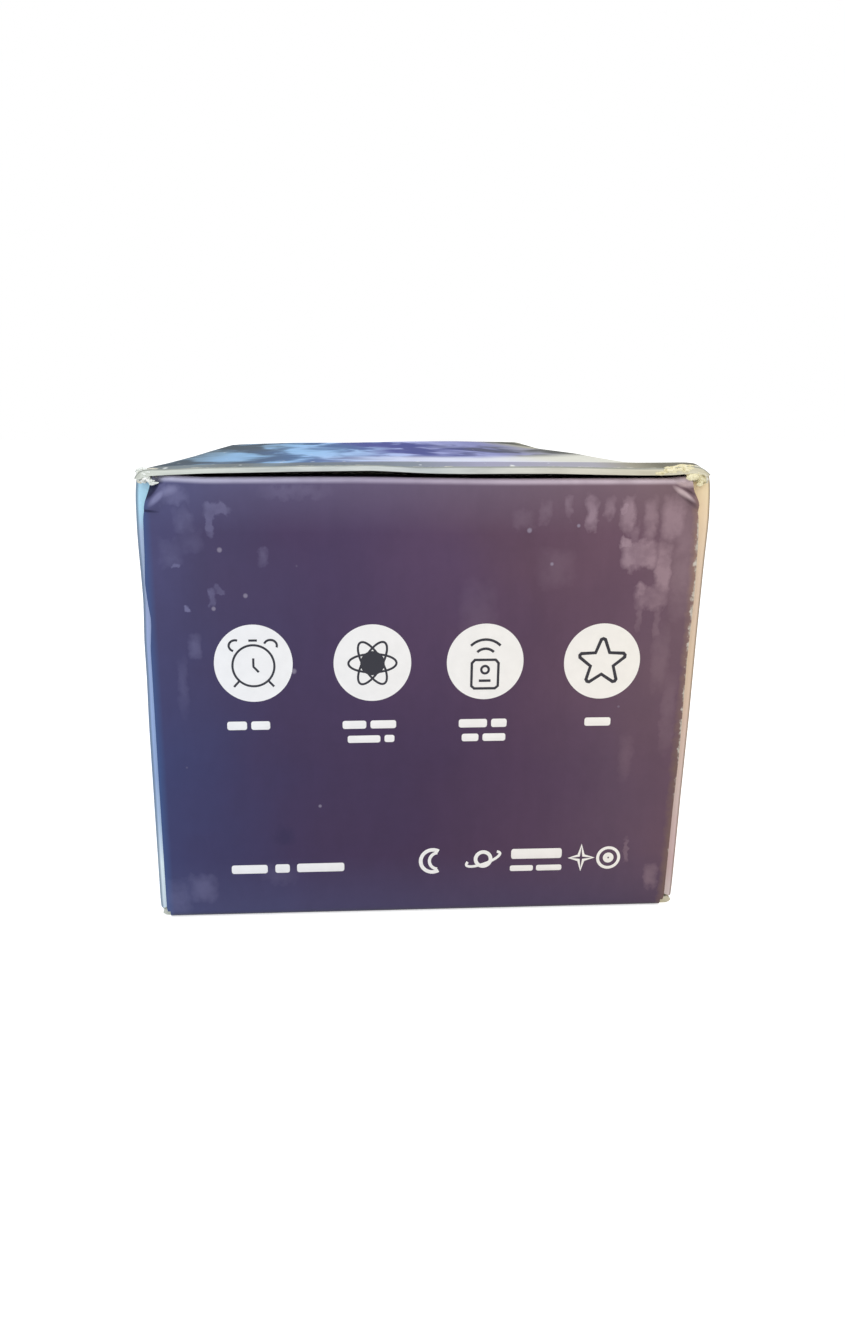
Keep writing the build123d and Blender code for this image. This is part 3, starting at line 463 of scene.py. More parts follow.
def pushed(add, place, size, amounts, detail, roughness):
    """The place, moved about by noise of a size and by these amounts, so that what it draws is ragged."""
    push = add("TexNoise", Vector=place, Scale=1 / size, Detail=detail, Roughness=roughness, out="Color")
    push = add("VectorMath:SUBTRACT", push, (0.5, 0.5, 0.5))
    return add("VectorMath:ADD", place, add("VectorMath:MULTIPLY", push, amounts))


def printed_board(name, ground, rubbed, ribs_along, sheen):
    """Micro-flute board with a litho print under satin film: even colour, a soft sheen, pale rubbed folds.

    `ground` draws the print's colour and roughness from the place in millimetres, `rubbed` the share of bare
    paper, and `sheen` is how strongly the film reflects.
    """
    material, add, place, xyz = start_board(name)
    colour, roughness = ground(add, place, *xyz)
    bare = rubbed(add, place, *xyz)
    fibre = add("TexNoise", Vector=place, Scale=1 / 0.9, Detail=4, Roughness=0.65)
    paper = add("ValToRGB", fibre, stops={
        0.34: "9f9d8e", 0.46: "d8d5c4", 0.6: "ebe8da", 0.75: "f8f6ec",
    })
    # the flutes under the print show as faint ribs under a raking light
    ribs = add(
        "TexWave", Vector=place, Scale=RIB_SCALE, Distortion=0.4, Detail=1, bands_direction=ribs_along,
        out="Fac",
    )
    grain = add("TexNoise", Vector=place, Scale=1 / 1.8, Detail=4)
    torn = add("Math:MULTIPLY", bare, fibre)
    height = add("Math:MULTIPLY_ADD", torn, 2.5, add("Math:MULTIPLY_ADD", ribs, 0.3, grain))
    roughness = add("Math:MULTIPLY_ADD", bare, 0.4, roughness, use_clamp=True)
    colour = add("Mix:RGBA", bare, colour, paper)
    surface(add, colour, roughness, height, 0.3, 0.1, IOR=1.45, Specular_IOR_Level=sheen)
    return material


def closure_ground(add, place, x, y, z):
    """Navy at the left running into plum at the right, cloudy, with pale haze, painted light and shade at
    edges and creases, and a painted highlight on the rubbed upper fold.
    """
    colours = bpy.context.scene.projector_print
    clouds = add("TexNoise", Vector=place, Scale=1 / 30, Detail=3, Roughness=0.5)
    across = add("MapRange", add("Math:MULTIPLY_ADD", clouds, 30, x), -50, 80)
    # the print's colours, lighter towards the top as a painted reflection and darker towards the bottom
    upper = add("ValToRGB", across, stops={
        0: tuple(colours.navy), 0.12: "423c5f", 0.3: "453658", 0.5: "523d5b", 0.68: "5b4255",
        0.85: tuple(colours.plum), 1: "745b62",
    })
    lower = add("ValToRGB", across, stops={
        0: "363b67", 0.1: "36345c", 0.26: "3a2e51", 0.5: "3f2d4b", 0.7: "4b354e", 0.88: "584255",
        1: "624856",
    })
    level = add("MapRange", z, 40, 88)
    warm = add("MapRange", x, -62, 55)
    colour = add("Mix:RGBA", level, lower, upper)

    def shaded(colour, share, by, left, right):
        """Lays a colour over, which runs from one at the left to another at the right."""
        return add("Mix:RGBA", share, colour, add("Mix:RGBA", by, left, right))

    # navy again along the foot, painted shade on the crease under it, and a lighter band under the fold as a
    # painted reflection
    colour = shaded(colour, add("MapRange", z, 16, 1, 0, 0.7), across, "454a72", "48394f")
    colour = shaded(colour, add("MapRange", z, 1.5, 0.2, 0, 0.65), across, "1f2b3c", "221a22")
    colour = shaded(colour, add("MapRange", z, 95, 106.5, 0, 0.62), warm, "565a84", "80696f")
    # painted shade as a slim darker and bluer rim inside the left edge, and a brown rubbed rim inside the
    # right
    colour = add("Mix:RGBA", add("MapRange", x, -61.8, -63.6, 0, 0.75), colour, "3c5688")
    right = add("Math:SUBTRACT", x, add("MapRange", z, 0, 70, 62.6, 63.6))
    chips = add("TexNoise", Vector=place, Scale=1 / 2.6, Detail=4, Roughness=0.6)
    ragged = add("Math:MULTIPLY_ADD", chips, 2.6, add("Math:MULTIPLY_ADD", clouds, 2.5, right))
    ragged = add("Math:SUBTRACT", ragged, 1.3)
    colour = shaded(colour, add("MapRange", ragged, -0.4, 1.5, 0, 0.8), level, "745c52", "9a7d6c")
    # pale haze: ragged patches and upright smears, most of them near the right upper corner
    moved = pushed(add, place, 2.4, (2.6, 0, 5), 3, 0.55)
    haze = most(add, marks(add, moved, (
        (32.9, 101.1, 1.1, 3.4, 1, 0.4), (38.4, 99.8, 1.6, 4.6, 0.9, 0.75), (42.8, 100.9, 1.6, 3, 0.9, 0.5),
        (46.9, 99.3, 1.9, 4.6, 0.8, 0.75), (46, 100.6, 0.9, 1.6, 0.8, 1), (52.3, 97.7, 1.8, 6.2, 0.9, 0.55),
        (57.8, 98.2, 3.4, 6, 0.8, 0.7), (60.4, 88, 3, 14, 0.9, 0.35), (50.5, 90, 5, 3.9, 0.6, 0.8),
        (56.2, 87, 2.2, 7, 0.7, 0.75), (47, 93, 1.6, 1.6, 0.7, 0.95), (49, 95, 1.2, 2.6, 0.9, 0.4),
        (53.9, 80.4, 4.6, 3.2, 0.7, 0.45), (51.3, 81.8, 1.4, 2.4, 0.8, 0.75), (55.6, 74, 1, 5, 0.9, 0.3),
        (51.2, 75.6, 0.9, 3.4, 0.9, 0.25), (27.7, 100.1, 1.8, 3, 1, 0.25), (22.7, 98.2, 3, 2.6, 1, 0.2),
        (57.1, 65.5, 2.6, 9, 1, 0.2), (60, 51.8, 2, 11, 1, 0.2), (52.2, 16.2, 0.7, 3.6, 0.8, 0.3),
        (59.1, 8.3, 2.2, 4, 1, 0.35), (50.3, 40.9, 2, 7, 1, 0.12), (12.8, 73.6, 5, 12, 1, 0.12),
        (30.6, 87.3, 5, 5, 1, 0.14), (-47.1, 100.3, 3.3, 1.6, 0.6, 0.36), (-48.9, 97.6, 1.1, 3, 0.6, 0.36),
        (-54.6, 97.6, 2.8, 3.4, 1, 0.26), (-56.7, 103.2, 3.8, 2.4, 1, 0.36), (-57.9, 90.4, 3.2, 3.6, 1, 0.2),
        (-53.3, 93.3, 3, 3, 1, 0.15), (-29.5, 104.2, 9, 1.8, 1, 0.2), (-49.1, 80.8, 0.9, 2.2, 0.7, 0.4),
        (-47.1, 82.5, 1.4, 1, 0.7, 0.32), (-55, 78.5, 0.8, 0.9, 0.7, 0.6), (-57, 87.6, 1, 1, 0.8, 0.5),
        (-53.5, 69.4, 1.8, 3.4, 1, 0.3), (-37.1, 89.9, 1.4, 2, 1, 0.3), (-56.7, 59.8, 1.4, 8, 1, 0.16),
        (-35.6, 11.6, 5, 3, 1, 0.12), (-54.5, 8, 4, 4.4, 1, 0.3), (-60.7, 5.4, 3.6, 6, 1, 0.25),
    ), squared=True))
    grainy = add("TexNoise", Vector=place, Scale=1 / 4, Detail=4, Roughness=0.6)
    haze = add("Math:MULTIPLY", haze, add("MapRange", grainy, 0.36, 0.54, 0.65, 1), use_clamp=True)
    colour = shaded(colour, haze, warm, "7b7da6", "a1878f")
    # upright streaks and faint blotches, a few millimetres across, where ink and film lie unevenly
    drawn = add("VectorMath:MULTIPLY", place, (1 / 3.4, 1, 1 / 12))
    streaks = add("TexNoise", Vector=drawn, Scale=1, Detail=2, Roughness=0.5)
    blotches = add("TexNoise", Vector=place, Scale=1 / 3.6, Detail=3, Roughness=0.6)
    uneven = add("MapRange", add("Math:ADD", streaks, blotches), 0.75, 1.25, 0.965, 1.035)
    colour = add("VectorMath:SCALE", colour, uneven)
    # nicks and dust, under a millimetre across
    nicks = most(add, [specks(add, place, 13, 0.55, 0.62)] + marks(add, place, [
        (x, z, size, size, 0.5, 0.8) for x, z, size in (
            (-41.4, 81.2, 0.65), (-48.8, 78.3, 0.6), (-46.9, 91.5, 0.7), (-30.7, 63.5, 0.8), (-25, 29.4, 0.5),
            (24.1, 95.9, 0.7), (29.7, 88.2, 0.5), (35.5, 96.9, 0.5),
        )
    ]))
    colour = add("Mix:RGBA", add("Math:MULTIPLY", nicks, 0.45), colour, "b4aec2")
    # a dark smudge low on the left
    colour = add("Mix:RGBA", marks(add, moved, [(-33.9, 21.6, 3, 3, 0.6, 0.75)])[0], colour, "2f284c")
    # creases at the crushed corners: a painted highlight on a fold's ridge and painted shade in its groove
    groove_shade = most(add, marks(add, place, (
        (-61, 105, 4, 1.15, 0.35, 1, -56), (-59.6, 106.6, 1.2, 1.3, 0.5, 0.95, -35),
        (-62.5, 99.7, 2.9, 0.45, 0.8, 0.9, 6), (60.9, 104, 2.8, 0.5, 0.8, 0.85, 33),
        (61, 101.8, 3.8, 0.6, 0.9, 0.75, 39),
    )))
    ridge_highlights = most(add, marks(add, place, (
        (-60.2, 102.6, 3.2, 0.9, 0.6, 0.55, -42), (-57.6, 104.2, 3, 1.3, 0.8, 0.45, -24),
        (-64.6, 74.5, 1.1, 4.2, 0.7, 0.8), (59.6, 103.6, 3.8, 0.7, 0.6, 0.95, 38),
        (61.7, 107.6, 4.4, 1.9, 0.5, 0.85, 14), (60.4, 106.2, 3.4, 1.5, 0.5, 0.9, 14),
    )))
    colour = shaded(colour, ridge_highlights, warm, "8f92bb", "c8b2b4")
    colour = shaded(colour, groove_shade, warm, "1d2044", "4d383f")
    # a painted highlight along the upper fold's crown, where the ink is also rubbed pale
    crown_highlight_and_wear = add("MapRange", z, 105.75, 106.9, interpolation_type="SMOOTHSTEP")
    worn = add("TexNoise", Vector=place, Scale=1 / 5, Detail=3)
    crown_highlight_and_wear = add("Math:MULTIPLY", crown_highlight_and_wear, add("MapRange", worn, 0.3, 0.6, 0.8, 1))
    crown_highlight_and_wear = add("Math:MULTIPLY", crown_highlight_and_wear, add("MapRange", add("Math:ABSOLUTE", y), 118.6, 119.8))
    tint = add("ValToRGB", warm, stops={0: "bec0dc", 0.45: "aaa0b8", 1: "d4c2ca"})
    return add("Mix:RGBA", crown_highlight_and_wear, colour, tint), add("MapRange", haze, None, None, 0.46, 0.62)


def closure_rubbed(add, place, x, y, z):
    """Film and ink are gone in nicks near the ends of a closure's fold, and in chips along its right edge."""
    ragged = add("TexNoise", Vector=place, Scale=1 / 1.3, Detail=4)
    reach = add("Math:MULTIPLY_ADD", ragged, 7, add("Math:ABSOLUTE", x))
    corner = add("Math:MULTIPLY", add("MapRange", reach, 65.2, 66), add("MapRange", z, 105.8, 106.8))
    chips = add("TexNoise", Vector=place, Scale=1 / 1.8, Detail=3, Roughness=0.6)
    reach = add("Math:MULTIPLY_ADD", chips, 3.4, x)
    return most(add, [corner, add("MapRange", reach, 65.1, 65.7, 0, 0.55)])


def sky_ground(add, place, x, y, z):
    """A night sky: slate and blue with soft clouds on top, pale sky at the left, peach cloud at the right."""
    colours = bpy.context.scene.projector_print
    soft_step = "SMOOTHSTEP"
    drawn = add("VectorMath:MULTIPLY", place, (1 / 30, 1 / 95, 1 / 30))
    wide = add("MapRange", x, -65, 65)
    clouds = add("TexNoise", Vector=drawn, Scale=1, Detail=3, Roughness=0.45, Distortion=0.7)
    wisps = add("TexNoise", Vector=drawn, Scale=1.7, Detail=3, Roughness=0.5, Distortion=0.5)
    across = add("MapRange", add("Math:MULTIPLY_ADD", clouds, 44, x), -42, 86)
    night = add("ValToRGB", across, stops={
        0: "3c4c58", 0.16: "42566b", 0.3: "446a9c", 0.42: "4a5f9e", 0.52: "3f4794", 0.66: "3d458c",
        0.78: "484c70", 0.88: "4c5054", 1: "55564c",
    })
    lit = add("ValToRGB", across, stops={
        0: "71899a", 0.22: "98c8f6", 0.45: "b2d0fb", 0.6: "b6bef2", 0.8: "8a8ec4", 1: "b6b4a2",
    })
    glow = add("MapRange", wisps, 0.42, 0.62, 0, 0.9, interpolation_type=soft_step)
    top = add("Mix:RGBA", glow, night, lit)
    # a pale lit bank near the front of the top, and a darker rub line just behind its cut edge
    front = add("Math:MULTIPLY_ADD", clouds, 12, y)
    bank = add("Math:ADD", front, add("MapRange", x, 22, 62, 0, -36))
    bank = add("MapRange", bank, -26, -56, 0, 1, interpolation_type=soft_step)
    some = add("MapRange", x, -30, 12, 0, 0.9, interpolation_type=soft_step)
    ends = add("MapRange", x, 12, 44)
    top = add("Mix:RGBA", add("Math:MULTIPLY", bank, some), top, add("Mix:RGBA", ends, "e2e8fc", "e9e9de"))
    tint = add("ValToRGB", wide, stops={
        0.1: "7a8284", 0.35: "6c7478", 0.48: "727c84", 0.6: "8e8ca8", 0.8: "9c9aa8", 0.87: "8a8470",
        0.92: "504b32",
    })
    top = add("Mix:RGBA", add("MapRange", front, -104, -109, 0, 0.85), top, tint)
    scuffs = specks(add, add("VectorMath:MULTIPLY", place, (1, 0.3, 1)), 3.6, 0.75, 0.5)
    scuffs = add("Math:MULTIPLY", add("MapRange", front, -70, -100), scuffs)
    top = add("Mix:RGBA", scuffs, top, "dfe3e4")
    # left and right side panels: soft cloud banks under a paler sky
    bend = add("TexNoise", Vector=place, Scale=1 / 34, Detail=3, Roughness=0.45, Distortion=0.3)
    level = add("MapRange", add("Math:MULTIPLY_ADD", bend, 26, z), 12, 122)
    left = add("ValToRGB", level, stops={
        0: "cfe0ee", 0.12: "e0f1fb", 0.24: "b6cdea", 0.32: "98b0dc", 0.5: tuple(colours.sky),
        0.7: "9dacd6", 0.83: "a2b4d2", 0.9: "aabede", 0.96: "b2dcf4",
    })
    right = add("ValToRGB", level, stops={
        0: "d4cac6", 0.12: "ccb0b0", 0.26: "d6c0ba", 0.42: "dec4b4", 0.6: "e2cab0", 0.76: "e4ccb6",
        0.9: tuple(colours.peach), 1: "f2e2b4",
    })
    is_right = add("MapRange", x, -8, 8, interpolation_type=soft_step)
    is_top = add("MapRange", z, 108.6, 109.6, interpolation_type=soft_step)
    colour = add("Mix:RGBA", is_top, add("Mix:RGBA", is_right, left, right), top)
    # the bottom panel is printed as plainly as the closures
    is_bottom = add("MapRange", z, 1.4, 0.4, interpolation_type=soft_step)
    plain = add("Mix:RGBA", wide, tuple(colours.navy), tuple(colours.plum))
    colour = add("Mix:RGBA", is_bottom, colour, plain)
    # small stars, and painted shade darkening the outermost line of the folds at each end
    colour = add("Mix:RGBA", specks(add, place, 8, 0.55, 0.5), colour, "eef2fb")
    colour = add("Mix:RGBA", specks(add, place, 23, 1, 0.45), colour, "f4f6ff")
    out = add("MapRange", add("Math:ABSOLUTE", x), 64, 64.5, 0, 0.8)
    fold_line_shade = add("Math:MULTIPLY", out, add("MapRange", add("Math:ABSOLUTE", y), 118.2, 118.9))
    return add("Mix:RGBA", fold_line_shade, colour, add("Mix:RGBA", is_right, "64788f", "7c6752")), 0.6


def sky_rubbed(add, place, *xyz):
    """Bare paper at the ends of the long creases, widest at the right, and thinly by the top's cut edges."""
    moved = pushed(add, place, 2.6, (5, 5, 5), 5, 0.6)
    upper = [
        patch(add, moved, (side * 64.5, end * 121.5, 109.5), size, soft=0.12) for side, end, size in (
            (-1, -1, (4.6, 4, 3)), (1, -1, (8.5, 2.6, 4)), (-1, 1, (4, 5, 3.4)), (1, 1, (5, 5, 3.6)),
        )
    ]
    lower = [
        patch(add, moved, (side * 64.8, end * 119.8, 0.6), (1, 1.6, 0.9), soft=0.4, amount=0.6)
        for side in (-1, 1) for end in (-1, 1)
    ]
    deep = add("Math:ABSOLUTE", add("SeparateXYZ", moved, out="Y"))
    return most(add, [*upper, *lower, add("MapRange", deep, 122.2, 122.8, 0, 0.8)])


def board_liner(name):
    """Uncoated white-lined board, as pressed: matt, warm white, with fine fibres and faint flute lines."""
    material, add, place, _ = start_board(name)
    fibre = add("TexNoise", Vector=place, Scale=1 / 1.2, Detail=5, Roughness=0.7)
    ribs = add("TexWave", Vector=place, Scale=RIB_SCALE, Distortion=0.2, bands_direction="X", out="Fac")
    tone = add("Math:MULTIPLY_ADD", ribs, 0.1, fibre)
    colour = add("ValToRGB", tone, stops={0.3: "cfc9bb", 0.55: "dcd8cd", 0.8: "e8e5dd"})
    surface(add, colour, 0.88, tone, 0.35, 0.1, IOR=1.45)
    return material


def board_cut_edge(name):
    """The board's knife-cut edge: two cream liners, and between them the flute, whose waves show upright."""
    material, add, place, (x, y, z) = start_board(name)
    depth = add("SeparateXYZ", add("UVMap", uv_map="cut"), out="Y")
    wave = add("Math:SINE", add("Math:MULTIPLY", z, 2 * math.pi / FLUTE))
    wave = add("Math:MULTIPLY_ADD", wave, 0.26, 0.5)
    hollow = add("MapRange", add("Math:ABSOLUTE", add("Math:SUBTRACT", depth, wave)), 0.08, 0.2)
    inside = add("MapRange", add("Math:ABSOLUTE", add("Math:SUBTRACT", depth, 0.5)), 0.4, 0.3)
    long_noise = add("VectorMath:MULTIPLY", place, (1 / 9, 1 / 9, 1 / 1.2))
    streaks = add("TexNoise", Vector=long_noise, Scale=1, Detail=4)
    crushed = add("MapRange", streaks, 0.4, 0.7, 0.06, 0.34)
    hollow = add("Math:MULTIPLY", add("Math:MULTIPLY", hollow, inside), crushed)
    fibre = add("TexNoise", Vector=place, Scale=1 / 1.5, Detail=4)
    across = add("MapRange", x, -62, 62)
    cream = add("ValToRGB", across, stops={0: "d3dbd5", 0.5: "c0cacf", 0.78: "d6d1c2", 1: "dcd3b4"})
    worn = add("ValToRGB", streaks, stops={0.34: "97958a", 0.5: "c6c8be", 0.68: "e6e6da"})
    colour = add("Mix:RGBA", 0.3, cream, worn)
    # a grey line along the top of the top panel's cut edge, at its printed face
    line = add("Math:MULTIPLY", add("MapRange", depth, 0.24, 0.12, 0, 0.7), add("MapRange", z, 108.2, 108.4))
    colour = add("Mix:RGBA", hollow, add("Mix:RGBA", line, colour, "7f8682"), "7f7a66")
    surface(add, colour, 0.9, fibre, 0.4, 0.15, IOR=1.45)
    return material


def frayed_paper():
    """Board torn at a corner: cream paper fibres, with painted shade for the gaps between the plies."""
    material, add, place, xyz = start_board("frayed_paper_board")
    plies = add("TexNoise", Vector=place, Scale=1 / 1.1, Detail=5, Roughness=0.7, Distortion=1)
    cool = add("ValToRGB", plies, stops={0.36: "6f7474", 0.42: "d4dad6", 0.5: "f0f5f1", 0.66: "ffffff"})
    warm = add("ValToRGB", plies, stops={
        0.34: "9a8a5c", 0.42: "e4dab0", 0.56: "f4ecc8", 0.72: "fbf7e0",
    })
    colour = add("Mix:RGBA", add("MapRange", xyz[0], -8, 8), cool, warm)
    surface(add, colour, 0.92, plies, 0.6, 0.3, IOR=1.4)
    return material


def litho_ink(name, left, right):
    """Printed ink under the film: flat and even, a little mottled, leaning from a cool to a warm tone."""
    material, add, place, xyz = start_board(name)
    colour = add("Mix:RGBA", add("MapRange", xyz[0], -50, 50), left, right)
    mottle = add("TexNoise", Vector=place, Scale=1 / 3.5, Detail=3)
    colour = add("VectorMath:SCALE", colour, add("MapRange", mottle, 0.3, 0.7, 0.95, 1))
    surface(add, colour, 0.5, IOR=1.45, Specular_IOR_Level=0.25)
    return material


def moulded(name, colour, darker, roughness, ior, grain):
    """An injection-moulded plastic or rubber: even colour, and the mould's spark-eroded grain as a bump."""
    material, add, place = start_rigid(name)
    flow = add("TexNoise", Vector=place, Scale=1 / 18, Detail=2)
    tone = add("ValToRGB", flow, stops={0.35: darker, 0.65: colour})
    fine = add("TexNoise", Vector=place, Scale=1 / grain, Detail=3)
    surface(add, tone, add("MapRange", fine, None, None, roughness - 0.06, roughness + 0.08), fine, IOR=ior)
    return material


def metal(name, colour, darker, roughness, across):
    """A metal with the marks of how it was made: turned or drawn lines, long on one axis, or a cast skin."""
    material, add, place = start_rigid(name)
    drawn = add("VectorMath:MULTIPLY", place, across)
    lines = add("TexNoise", Vector=drawn, Scale=1, Detail=4, Roughness=0.6)
    tone = add("ValToRGB", lines, stops={0.35: darker, 0.65: colour})
    rough = add("MapRange", lines, None, None, roughness - 0.1, roughness + 0.12)
    surface(add, tone, rough, lines, 0.25, 0.03, Metallic=1)
    return material


def clear_plastic(name, tint, roughness):
    """Cast acrylic: clear and glossy with very faint flow lines."""
    material, add, place = start_rigid(name)
    flow = add("TexNoise", Vector=place, Scale=1 / 14, Detail=1)
    surface(add, tint, roughness, flow, 0.05, 0.1, IOR=1.49, Transmission_Weight=1)
    return material


def nebula_film(name):
    """A printed film disc: swirls of blue, violet and magenta dye on clear glossy plastic."""
    material, add, place = start_rigid(name)
    swirl = add("TexNoise", Vector=place, Scale=1 / 9, Detail=5, Distortion=2.2)
    colour = add("ValToRGB", swirl, stops={
        0.3: "16205c", 0.44: "3f4fc0", 0.54: "7d56c8", 0.64: "c65fb0", 0.75: "7fc4ea",
    })
    surface(add, colour, 0.12, IOR=1.52, Transmission_Weight=0.35, Coat_Weight=0.4)
    return material


def circuit_board(name):
    """Glass epoxy under green solder mask: copper tracks 0.8 mm wide show through as paler lines."""
    material, add, place = start_rigid(name)
    tracks = add("TexVoronoi", Vector=place, Scale=1 / 4.5, Randomness=0.35, feature="DISTANCE_TO_EDGE")
    lines = add("MapRange", tracks, 0.07, 0.1)
    colour = add("Mix:RGBA", lines, "3f8a58", "1d5a38")
    colour = add("Mix:RGBA", specks(add, place, 4, 0.5, 0.5), colour, "c9b26a")
    bump = add("Bump", Strength=0.3, Distance=0.05 * MM, Height=lines, invert=True)
    surface(add, colour, 0.3, IOR=1.55, Normal=bump)
    return material


def leaflet_print():
    """Offset paper: bright matt white with fine tooth, and grey lines of small print too small to read."""
    material, add, place, (x, y, z) = start_board("offset_paper")
    tooth = add("TexNoise", Vector=place, Scale=1 / 0.8, Detail=4)
    paper = add("ValToRGB", tooth, stops={0.35: "e3e1da", 0.65: "f3f2ee"})
    row = add("Math:LESS_THAN", add("Math:PINGPONG", z, 3.2), 0.7)
    cells = add("VectorMath:MULTIPLY", place, (1 / 6, 0, 1 / 6.4))
    words = add("Math:GREATER_THAN", add("TexNoise", Vector=cells, Scale=1, Detail=1), 0.46)
    column = add("Math:LESS_THAN", add("Math:ABSOLUTE", x), 38)
    ink = add("Math:MULTIPLY", add("Math:MULTIPLY", row, words), column)
    colour = add("Mix:RGBA", add("Math:MULTIPLY", ink, 0.6), paper, "5b5e66")
    surface(add, colour, 0.85, tooth, IOR=1.45)
    return material


FINISHES = {
    "white_abs": (moulded, "moulded_white_abs", "eceef2", "e8eaee", 0.4, 1.54, 0.6),
    "navy_abs": (moulded, "moulded_navy_abs", "20284a", "1b2240", 0.45, 1.54, 0.6),
    "black_abs": (moulded, "moulded_black_abs", "1a1b1f", "151619", 0.42, 1.54, 0.6),
    "silicone": (moulded, "moulded_silicone_rubber", "2f3138", "26282e", 0.75, 1.41, 0.9),
    "acetal": (moulded, "moulded_acetal", "f0eee6", "e6e4da", 0.35, 1.48, 0.7),
    "components": (moulded, "epoxy_component_cases", "26272a", "191a1c", 0.5, 1.55, 0.5),
    "led_phosphor": (moulded, "led_phosphor_gel", "f0e08c", "e6cf62", 0.25, 1.41, 1.2),
    "steel": (metal, "zinc_plated_steel", "cdd0d4", "b4b8bc", 0.3, (3, 0.5, 3)),
    "ballast_iron": (metal, "cast_iron", "5c5e62", "3e4044", 0.62, (0.7, 0.7, 0.7)),
    "aluminium": (metal, "extruded_aluminium", "cfd2d6", "b4b8bd", 0.36, (2, 0.08, 2)),
    "brass": (metal, "turned_brass", "d8b765", "b8934a", 0.28, (1.2, 0.3, 1.2)),
    "clear_acrylic": (clear_plastic, "clear_cast_acrylic", "eef4fb", 0.04),
    "smoked_acrylic": (clear_plastic, "dark_red_acrylic", "4a1018", 0.06),
    "nebula_film": (nebula_film, "dyed_nebula_film"),
    "circuit_board": (circuit_board, "green_solder_mask"),
    "closure": (printed_board, "film_coated_closure_print", closure_ground, closure_rubbed, "Z", 0.25),
    "sleeve": (printed_board, "film_coated_sky_print", sky_ground, sky_rubbed, "Y", 0.1),
    "liner": (board_liner, "uncoated_board_liner"),
    "cut_edge": (board_cut_edge, "cut_board_edge"),
}


def finish_for(slot):
    """The finish of a rigid piece or a part of the board, made when it is first asked for."""
    maker, name, *values = FINISHES[slot]
    return bpy.data.materials.get(name) or maker(name, *values)


def carton_materials(kind):
    """The print of a closure or of the sleeve, then the plain liner and the cut edge."""
    return [finish_for(slot) for slot in (kind, "liner", "cut_edge")]


# ---------------------------------------------------------------- operators


class CARTON_OT_sleeve(bpy.types.Operator):
    """Folds the carton's four panels from one sheet of board"""

    bl_idname = "projector.sleeve"
    bl_label = "Carton sleeve"

    def execute(self, context):
        radius = context.scene.projector_carton.crease / MM
        half, low, high = HALF_WIDTH, 0, HEIGHT
        stations = []  # outer x, z, inner x, z, where the front end is cut

        def corner(x, z, first, before, after, switch):
            """A fold in eight steps, whose end is cut elsewhere from one of them on."""
            centre = (x - math.copysign(radius, x), radius if z == low else high - radius)
            ends = [before] * switch + [after] * (9 - switch)
            for outer, inner, end in zip(*folded(centre, radius, first, first + 90, 8), ends):
                stations.append((*outer, *inner, end))

        def run(one, two, inward, end, step):
            """A flat panel between two folds."""
            count = int(math.dist(one, two) // step)
            for share in np.linspace(0, 1, count + 1)[1:-1]:
                x, z = one[0] + (two[0] - one[0]) * share, one[1] + (two[1] - one[1]) * share
                stations.append((x, z, x + inward[0], z + inward[1], end))

        corner(half, low, 270, BOTTOM_END, SIDE_END, 5)
        run((half, radius), (half, high - radius), (-BOARD, 0), SIDE_END, 3)
        corner(half, high, 0, SIDE_END, HALF_LENGTH, 2)
        run((half - radius, high), (radius - half, high), (0, -BOARD), HALF_LENGTH, 1.5)
        corner(-half, high, 90, HALF_LENGTH, SIDE_END, 7)
        run((-half, high - radius), (-half, radius), (BOARD, 0), SIDE_END, 3)
        corner(-half, low, 180, SIDE_END, BOTTOM_END, 4)
        run((radius - half, low), (half - radius, low), (0, BOARD), BOTTOM_END, 4)
        # a step in the cut has both of its corners at nearly the same place
        closed = stations + stations[:1]
        full = []
        for now, after in zip(closed, closed[1:]):
            full.append(now)
            if now[4] != after[4]:
                full.append((*[a + (b - a) * 0.9 for a, b in zip(now[:4], after[:4])], now[4]))
        rows = [np.concatenate([[-end], spaced(-118, 118, 1, 5, 12), [end]]) for *_, end in full]
        outer = np.array([points_at(x, row, z) for (x, z, _, _, _), row in zip(full, rows)])
        inner = np.array([points_at(x, row, z) for (_, _, x, z, _), row in zip(full, rows)])
        # the left half of the top panel's front edge is pressed down
        crushed = outer.copy()
        x, y, z = crushed[..., 0], crushed[..., 1], crushed[..., 2]
        pressed = (1 - smooth(y + HALF_LENGTH, 0, 4)) * smooth(-x, -8, 4) * smooth(x, -63, -58)
        crushed[..., 2] -= 0.35 * pressed * (z > HEIGHT - 0.01)
        grids = [settle(crushed), settle(inner), [outer, inner]]
        made = board_piece("carton_sleeve", *grids, True, carton_materials("sleeve"))
        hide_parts("bottom_panel", "top_panel", "left_panel", "right_panel")
        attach(made, "root")
        return {"FINISHED"}


def closure_grids(lines, halves, end, wear):
    """Both faces of a strip of a closure, settled and flat, from their profiles and each row's half widths."""
    across = spaced(-1, 1, 0.012, 0.03, 0.2)
    settled, flat = [], []
    for line in lines:
        rows = [(across * np.where(across < 0, *pair), y, z) for (y, z), pair in zip(line, halves)]
        settled.append(np.array([closure_point(*row, end, wear) for row in rows]))
        flat.append(np.array([points_at(x * -end, y, z) for x, y, z in rows]))
    return [*settled, flat]


